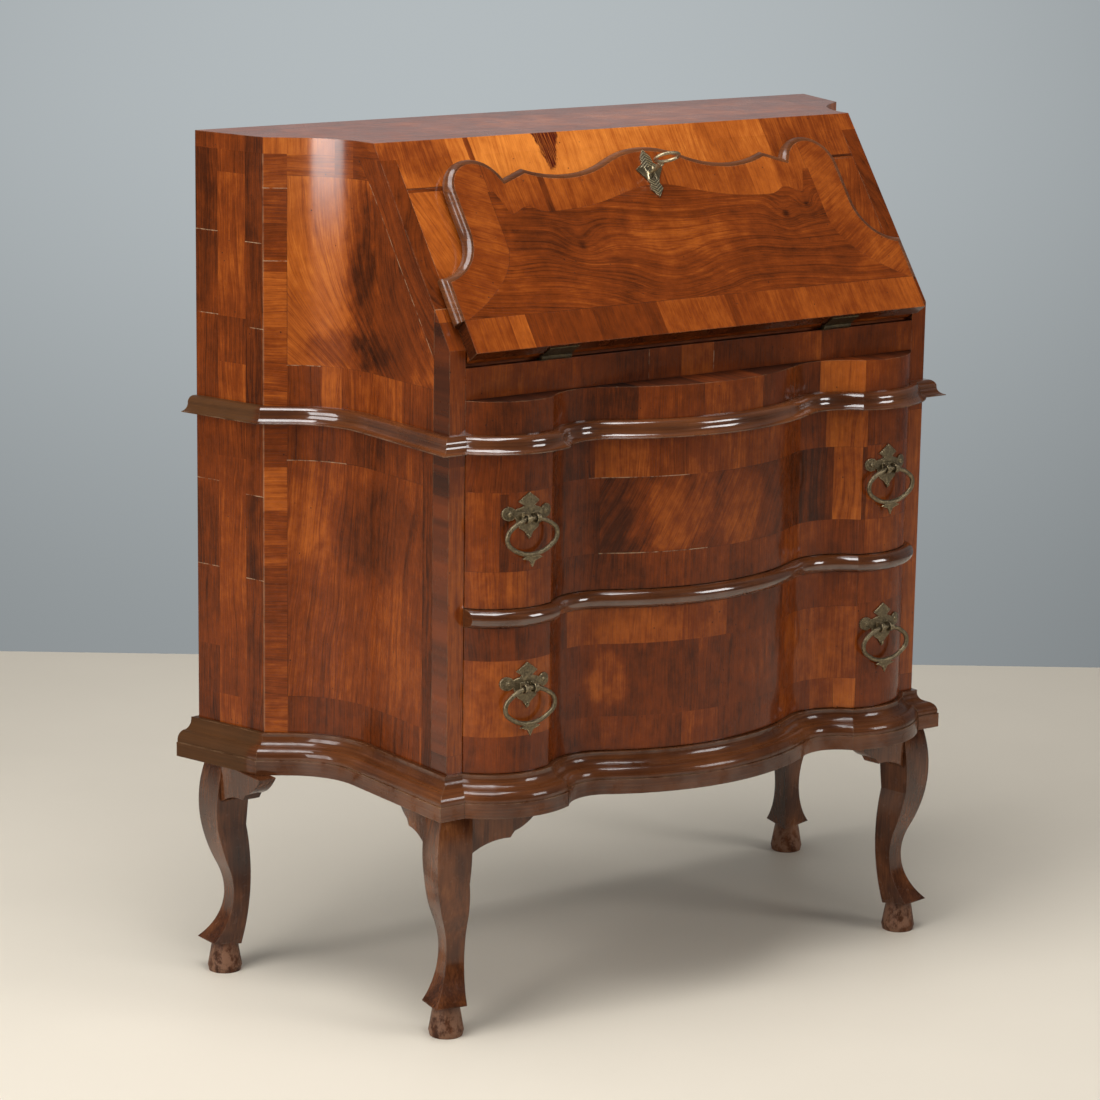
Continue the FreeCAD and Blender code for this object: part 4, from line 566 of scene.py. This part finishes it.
def lower_front_veneer():
    """Dark field of upright grain, bright band segments and blocks on the lobes."""
    f = Finish("lower_drawer_veneer")
    x, y, z = f.spot()
    foot, low, high, top = 295, 341, 425, 475
    lobe_low, lobe_high = 343, 429
    left_end, right_end, field_start = -214, 224, -182
    bright_foot = 338
    v = Veneer(f, x, z, 0.36)
    v.strip([
        (field_start, 0.36), (-90, 0.39), (-66, 0.35), (-28, 0.38), (60, 0.4), (140, 0),
    ], low, high)
    v.shade(-130, 385, 26, 34, 0.16)
    v.strip([
        (left_end, 0.32), (field_start, 0.56), (-110, 0.53), (10, 0.36), (112, 0.42), (right_end, 0),
    ], high, top)
    v.strip([
        (field_start, 0.34), (-160, 0.4), (-136, 0.38), (-48, 0.5), (0, 0.38), (112, 0.4), (174, 0),
    ], foot, low)
    v.leaf(120, right_end, bright_foot, high, 0.53)
    v.leaf(174, 203, foot, bright_foot, 0.54)
    v.leaf(203, right_end, foot, bright_foot, 0.68)
    v.stack(-330, left_end, [(foot, 0.42), (lobe_low, 0.6), (lobe_high, 0.36), (top, 0)])
    v.leaf(-271, left_end, lobe_high, top, 0.38)
    v.stack(right_end, 330, [(foot, 0.42), (lobe_low, 0.4), (lobe_high, 0.46), (top, 0)])
    tone, strand = v.figured(rings=0.55, fibre=0.8, clouds=1.3, period=6.5)
    return varnish(f, tone, strand, v, (x, y, z), coat=0.35)


def ledged(f, v, spots, wear):
    """Varnish that is dull on the ledge along the top, with painted shade darkening that ledge."""
    tone, strand = v.figured(rings=0.45, fibre=0.9, clouds=1.2, period=7.0)
    _, _, facing_z = f.facing()
    ledge = f.smooth(facing_z, 0.5, 0.8)
    gloss = ledge * 0.4 + 0.27
    coat = 0.4 - ledge * 0.4
    # Painted shade: the ledge facing up is given a darker tone
    return varnish(f, tone - ledge * 0.2, strand, v, spots, wear=wear, gloss=gloss, coat=coat)


def frieze_veneer():
    """Upright leaves side by side over the waist moulding."""
    f = Finish("frieze_veneer")
    x, y, z = f.spot()
    v = Veneer(f, x, z, 0.4)
    v.strip([
        (-330, 0.32), (-213, 0.3), (-105, 0.4), (-28, 0.5), (60, 0.36), (130, 0.34), (176, 0.68),
        (224, 0.46), (330, 0),
    ], 670, 730)
    return ledged(f, v, (x, y, z), 0.8)


def fall_rail_veneer():
    """Upright leaves under the fall, with two opened joints."""
    f = Finish("fall_rail_veneer")
    x, y, z = f.spot()
    v = Veneer(f, x, z, 0.42)
    v.strip([
        (-330, 0.5), (-256, 0.48), (-165, 0.33), (-70, 0.37), (-24, 0.57), (22, 0.35), (120, 0.47),
        (180, 0.39), (330, 0),
    ], 700, 765)
    for middle, foot in ((-70, 715), (22, 720)):
        v.crack(middle - CRACK_HALF, middle + CRACK_HALF, foot, 752)
    return ledged(f, v, (x, y, z), 0.15)


def slope_places(f):
    """Place on the object, then up and off the slanted front."""
    x, y, z = f.spot()
    run, rise = y - SLANT_FOOT_Y, z - SLANT_FOOT_Z
    up = run * math.cos(SLANT) + rise * math.sin(SLANT)
    off = rise * math.cos(SLANT) - run * math.sin(SLANT)
    return (x, y, z), up, off


def front_leaves(v):
    """The gold-brown header over the fall, with a dark joint and one deep red knot."""
    f = v.finish
    x, up = v.u, v.v
    v.strip([
        (-FRAME_HALF, 0.64), (-246, 0.79), (-222, 0.5), (-215, 0.84), (-115, 0.85), (-26, 0.77),
        (101, 0.69), (200, 0.54), (FRAME_HALF, 0),
    ], 198, 300)
    v.shade(-300, 235, 60, 30, -0.12)
    wedge = (abs(x + 115 - (up - 215) * 0.12) - (up - 205) * 0.3 - 2).most(210 - up)
    ragged = f.noise(x / 4, up / 9, 3.0, 4.0, 0.7) * 16
    v.stain = f.smooth(wedge + ragged, 2.0, -1.5)


def slant_veneer():
    """The frame round the fall: browner stiles below the header."""
    f = Finish("slant_frame_veneer")
    spots, up, _ = slope_places(f)
    v = Veneer(f, spots[0], up, 0.6)
    v.leaf(-FRAME_HALF, -200, -20, 197, 0.54, 20)
    v.shade(-300, 150, 60, 70, 0.1)
    v.leaf(200, FRAME_HALF, -20, 200, 0.48, -20)
    front_leaves(v)
    v.leaf(-FRAME_HALF, -250, 193, 198, 0.36, 90)
    v.leaf(260, FRAME_HALF, 199, 202, 0.2, 90)
    tone, strand = v.figured(rings=0.7, fibre=0.9, clouds=1.1, period=8.0)
    return varnish(f, tone, strand, v, spots, seam=f.smooth(up, 226, 230))


def fall_veneer():
    """Shaped field of swirling walnut inside a crossbanded border."""
    f = Finish("fall_panel_veneer")
    spots, up, off = slope_places(f)
    x = spots[0]
    field_foot, border_end = 27, 226
    v = Veneer(f, x, up, 0.55)
    # Border segments: along the foot, up the ends and under the crest
    v.strip([
        (-330, 0.5), (-262, 0.62), (-240, 0.41), (-150, 0.4), (-82, 0.36), (-60, 0.55), (36, 0.42),
        (48, 0.47), (88, 0.5), (133, 0.52), (border_end, 0.57), (330, 0),
    ], -20, field_foot)
    v.leaf(-340, -border_end, field_foot, 230, 0.5, 68)
    v.leaf(border_end, 340, field_foot, 230, 0.54, -60)
    v.strip([
        (-border_end, 0.45), (-205, 0.52), (-156, 0.34), (-148, 0.58), (-107, 0.53), (-44, 0.47),
        (20, 0.53), (96, 0.58), (140, 0.66), (180, 0.54), (border_end, 0),
    ], 140, 240)
    # Field: ends that spread below, and a crest with a middle hump and raised shoulders
    spread = (115 - up).most(0.0)
    wide = abs(x)
    ends = wide - 228 - spread * spread * 0.011
    crest = x.bell(75.0) * 24 + (wide - 184).bell(14.0) * 9 + f.smooth(wide, 206.0, 222.0) * 30 + 148
    field = (field_foot - up).most(ends).most(up - crest)
    v.shape(field, 0.45, 86)
    v.shade(-150, 130, 90, 36, -0.09)
    v.shade(210, 90, 60, 60, -0.08)
    v.shade(20, 105, 110, 26, 0.07)
    v.knot(-20, 30, 95, lift=7.0)
    v.knot(-130, 103, 30, 0.2)
    v.knot(170, 122, 22, 0.3)
    v.knot(205, 133, 16, 0.2)
    # Painted shade: a dark rim on the panel's edges below its face
    v.shape(off - (PANEL_FACE - PANEL_RIM), 0.16, 90, joint=False)
    tone, strand = v.figured(rings=(field < 0.0) * 0.65 + 0.45, fibre=0.8, period=6.0, sway=5.0)
    return varnish(f, tone, strand, v, spots)


def plain_walnut():
    """Veneer inside the writing space and on the back of the fall."""
    f = Finish("plain_walnut")
    x, y, z = f.spot()
    v = Veneer(f, z + y, x, 0.5)
    tone, strand = v.figured(rings=0.8, clouds=0.8, period=12.0)
    return varnish(f, tone, strand, v, (x, y, z), gloss=0.36)


def moulding_walnut(name, ground, wear, coat):
    """Solid walnut with its grain along the run, olive on the flanks and less polished low down."""
    f = Finish(name)
    spots = f.spot()
    _, y, z = spots
    streak = f.speckle(spots, (95, 95, 1.9), 3.0, 0.6)
    cloud = f.speckle(spots, (70, 70, 60))
    tone = ground + streak * 0.5 + cloud * 0.6
    flank = f.smooth(BACK - y, ARRIS_DEPTH + 4, ARRIS_DEPTH - 4)
    stained = f.mix(flank * 0.6, f.ramp(tone, SOLID_STOPS), OLIVE_FLANK)
    rounded, bend = f.edges(EDGE_RADIUS)
    scuff = f.speckle(spots, 22, 4.0, 0.65)
    rubbed = f.smooth(bend, 0.02, 0.16) * f.smooth(scuff, -0.14, 0.12) * wear
    dents = f.speckle(spots, (7, 7, 5), 3.0, 0.6)
    low = f.smooth(z, 340, 290)
    sockets = {
        "Base Color": f.mix(rubbed, stained, WORN),
        "Roughness": 0.3 + scuff * 0.3 - streak * 0.1 + flank * 0.16,
        "Specular IOR Level": 0.1,
        "Coat Weight": coat + scuff * 1.2 - flank * 0.7 - low * 0.55,
        "Coat Roughness": 0.09,
        "Coat IOR": 1.8,
    }
    return f.surface(sockets, streak + dents, 0.5, 0.0009, rounded)


def leg_walnut():
    """Solid walnut with upright grain, rubbed along the edges and pale at the hooves."""
    f = Finish("leg_walnut")
    spots = f.spot()
    streak = f.speckle(spots, (2.6, 2.6, 55), 3.0, 0.6)
    cloud = f.speckle(spots, (30, 30, 60))
    tone = 0.42 + streak * 0.65 + cloud * 1.1
    rounded, bend = f.edges(0.002)
    scuff = f.speckle(spots, (9, 9, 12), 4.0, 0.65)
    low = f.smooth(spots[2], 40.0, 24.0)
    rubbed = f.smooth(bend, 0.02, 0.2) * f.smooth(scuff, -0.2, 0.12) * 0.6
    chipped = low * f.smooth(scuff, -0.12, 0.1) * 0.75
    sockets = {
        "Base Color": f.mix(rubbed.most(chipped), f.ramp(tone, SOLID_STOPS), WORN_LEG),
        "Roughness": 0.25 + scuff * 0.25 + low * 0.3,
        "Specular IOR Level": 0.15,
        "Coat Weight": 0.6 - low * 0.5,
        "Coat Roughness": 0.12,
    }
    return f.surface(sockets, streak + scuff * low * 2, 0.35, 0.0006, rounded)


def oak(name, along, boards=0.0):
    """Dry oak; along is the axis of its grain, boards the width of each board up the back."""
    f = Finish(name)
    spots = f.spot()

    def drawn_out(width, length):
        return f.speckle(spots, tuple(length if axis == along else width for axis in "xyz"), 3.0, 0.6)

    strand = drawn_out(1.6, 60.0)
    drift = drawn_out(14.0, 200.0)
    fleck = f.smooth(f.speckle(spots, 5, 1.0), 0.16, 0.24)
    dust = f.speckle(spots, 80, 3.0)
    colour = f.ramp(0.5 + strand * 0.6 + drift * 0.7 + fleck * 0.1 + dust * 0.4, OAK_STOPS)
    if boards:
        count = spots[2] / boards
        seam = abs(count.maths("FRACT", count) - 0.5) > 0.494
        colour = f.mix(seam * 0.8, colour, OAK_JOINT)
    rounded, _ = f.edges(0.001)
    shine = 0.62 + strand * 0.2 + dust * 0.2
    return f.surface({"Base Color": colour, "Roughness": shine}, strand, 0.4, 0.0005, rounded)


def bronze(name, dull, bright, wear, gloss, chased=None):
    """Cast metal: dark in the hollows, rubbed bright on the edges."""
    f = Finish(name)
    spots = f.spot()
    cast = f.speckle(spots, 2.2, 3.0, 0.6)
    patch = f.speckle(spots, 7, 3.0)
    rounded, bend = f.edges(0.0013)
    relief = f.smooth(patch, 0.0, 0.25) * 0.35 + cast * 0.9
    height = cast + patch * 2
    if chased:
        scrolls = chased(f)
        relief = relief + scrolls * 0.9
        height = height + scrolls * 3
    rubbed = (f.smooth(bend, 0.01, 0.14) * 0.9 + relief + wear).least(1.0).most(0.0)
    sockets = {
        "Base Color": f.mix(rubbed, dull, bright),
        "Roughness": gloss + cast * 0.3 - rubbed * 0.12,
        "Metallic": 0.75 + rubbed * 0.2,
    }
    return f.surface(sockets, height, 0.7, 0.0007, rounded)


def escutcheon_scrolls(f):
    """Chevron ridges on both finials and a raised scroll each side of the keyhole."""
    (x, _, _), up, _ = slope_places(f)
    low, high = (Vector(corner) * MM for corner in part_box("escutcheon"))
    middle = (low + high) / 2
    rise = (middle.y - SLANT_FOOT_Y) * math.cos(SLANT) + (middle.z - SLANT_FOOT_Z) * math.sin(SLANT)
    ridge_pitch = 3.6
    across = abs(x - middle.x)
    along = abs(up - rise)
    ends = f.smooth(along, 7.0, 9.0)
    ridge = (along + across * 0.7) * (math.tau / ridge_pitch)
    chevrons = ridge.maths("SINE", ridge) * ends
    scrolls = ((across - along * 0.25 - 4).bell(1.3) * 2 - 1) * (1 - ends)
    return chevrons + scrolls


def dress():
    """Each piece of the frame gets its finish; pieces that aren't listed are of the hardware's bronze."""
    solid = moulding_walnut("moulding_walnut", ground=0.45, wear=0.6, coat=0.9)
    bead = moulding_walnut("bead_walnut", ground=0.5, wear=0.3, coat=0.35)
    leg = leg_walnut()
    plain = plain_walnut()
    hardware = bronze(
        "hardware_bronze", dull=(0.08, 0.06, 0.034), bright=(0.5, 0.4, 0.235), wear=0.16, gloss=0.4)
    scutcheon = bronze(
        "escutcheon_brass", dull=(0.1, 0.075, 0.04), bright=(0.62, 0.51, 0.32), wear=0.5, gloss=0.42,
        chased=escutcheon_scrolls)
    key_metal = bronze(
        "key_brass", dull=(0.22, 0.17, 0.09), bright=(0.55, 0.46, 0.3), wear=0.4, gloss=0.36)
    hinge_metal = bronze(
        "hinge_brass", dull=(0.035, 0.024, 0.012), bright=(0.13, 0.095, 0.045), wear=0.1, gloss=0.5)
    deep_oak = oak("oak_along_depth", "y")
    wide_oak = oak("oak_along_width", "x")
    finishes = {
        "side_left side_right": side_veneer(),
        "top_board": top_veneer(),
        "corner_post_left corner_post_right": post_veneer(),
        "upper_drawer_front": upper_front_veneer(),
        "lower_drawer_front": lower_front_veneer(),
        "frieze": frieze_veneer(),
        "fall_rail": fall_rail_veneer(),
        "slant_stiles slant_header": slant_veneer(),
        "fall_panel": fall_veneer(),
        "fall_board writing_bed interior_cheeks gallery_boards inner_drawer_left inner_drawer_right": plain,
        "base_moulding waist_moulding divider_moulding divider_rail waist_rail base_frame": solid,
        "fall_bead": bead,
        "leg_front_left leg_front_right leg_back_left leg_back_right knee_brackets": leg,
        "back_panel": oak("oak_back_boards", "x", boards=165.0),
        "case_bottom upper_drawer_back lower_drawer_back upper_drawer_bottom lower_drawer_bottom": wide_oak,
        "upper_drawer_side_left upper_drawer_side_right drawer_runners": deep_oak,
        "lower_drawer_side_left lower_drawer_side_right": deep_oak,
        "escutcheon": scutcheon,
        "hinge_rail_leaves hinge_fall_leaves": hinge_metal,
        "key": key_metal,
    }
    chosen = {name: hardware for name in nodes}
    for names, material in finishes.items():
        for name in names.split():
            chosen[name] = material
    for name, item in nodes.items():
        for slot in item.material_slots:
            slot.material = chosen[name]


# Studio: a pale floor, a large soft light overhead and weaker ones at the left and right
AWAY = Vector((math.sin(YAW), math.cos(YAW), 0))
ACROSS = Vector((math.cos(YAW), -math.sin(YAW), 0))
FLOOR_COLOUR = (0.70, 0.635, 0.53)
FLOOR_EDGE = 1.37
FLOOR_SPAN = 9.0
LIT_FLOOR = 0.75
WALL_COLOUR = (0.92, 1.0, 1.035)
SOFT_LIGHT = 0.155
HORIZON_SINE = -math.sin(math.radians(14.46))
HORIZON_BLUR = 0.0004


def lamp(name, spot, aim, size, watts):
    light = bpy.data.lights.new(name, "AREA")
    light.shape = "RECTANGLE"
    light.size, light.size_y = size
    light.energy = watts
    item = bpy.data.objects.new(name, light)
    scene.collection.objects.link(item)
    item.location = spot
    item.rotation_euler = (Vector(aim) - Vector(spot)).to_track_quat("-Z", "Y").to_euler()


def lay_floor():
    """A floor that ends behind the object, square to the camera."""
    far, near, half = FLOOR_EDGE, -FLOOR_SPAN, FLOOR_SPAN
    outline = (far, -half), (near, -half), (near, half), (far, half)
    corners = [AWAY * along + ACROSS * wide for along, wide in outline]
    mesh = bpy.data.meshes.new("floor")
    mesh.from_pydata(corners, [], [(0, 1, 2, 3)])
    floor = bpy.data.objects.new("floor", mesh)
    scene.collection.objects.link(floor)
    f = Finish("floor_paint")
    x, y, _ = f.spot()
    cloud = f.noise(x / 260, y / 260, 0.0, 4.0)
    dim, clear = ([part * share for part in FLOOR_COLOUR] for share in (0.96, 1.03))
    colour = f.mix(0.5 + cloud, dim, clear)
    shader = f.node("ShaderNodeBsdfPrincipled", None, {"Base Color": colour, "Roughness": 0.6})
    f.node("ShaderNodeOutputMaterial", None, {"Surface": shader})
    mesh.materials.append(f.material)


def light_studio():
    """Three lamps, and a world that shows a grey-blue wall but lights evenly and softly."""
    lamp("overhead_light", spot=(-0.6, -0.35, 3.0), aim=(-0.05, 0, 0.3), size=(1.8, 1.8), watts=79)
    lamp("left_light", spot=(-2.85, -0.4, 1.5), aim=(-0.4, 0.05, 1.3), size=(1.8, 1.8), watts=60)
    lamp("right_light", spot=(1.9, -3.0, 1.8), aim=(0, 0, 0.5), size=(1.2, 1.2), watts=36)
    world = bpy.data.worlds.new("studio")
    scene.world = world
    f = Finish("studio", world)
    direction = f.node("ShaderNodeTexCoord", output="Generated")
    height = f.split(direction)[2]
    away, across = (f.dot(direction, axis) for axis in (AWAY, ACROSS))
    direct = f.node("ShaderNodeLightPath", output="Is Camera Ray")
    glossy = f.node("ShaderNodeLightPath", output="Is Glossy Ray")
    through = f.node("ShaderNodeLightPath", output="Is Transmission Ray")
    # The wall is brighter higher up, dims to both sides and isn't mirrored from in front of the object
    behind = f.smooth(away, 0.0, 0.4).most(direct)
    aside = across + 0.03
    falling = (1 - aside * aside * 7.7).most(0.25 + direct * 0.4)
    glow = (f.smooth(height, -0.27, -0.09) * 0.18 + 0.295) * falling * behind + 0.02
    wall = f.mix(glow, (0, 0, 0), WALL_COLOUR)
    above = f.smooth(height, HORIZON_SINE - HORIZON_BLUR, HORIZON_SINE + HORIZON_BLUR)
    ground = [part * LIT_FLOOR for part in FLOOR_COLOUR]
    seen = f.node("ShaderNodeBackground", None, {"Color": f.mix(above, ground, wall)})
    soft = f.node("ShaderNodeBackground", None, {"Color": (1, 1, 1, 1), "Strength": SOFT_LIGHT})
    shown = direct.most(glossy).most(through)
    both = f.node("ShaderNodeMixShader", None, {0: shown, 1: soft, 2: seen})
    f.node("ShaderNodeOutputWorld", None, {"Surface": both})


place_camera()
dress()
lay_floor()
light_studio()
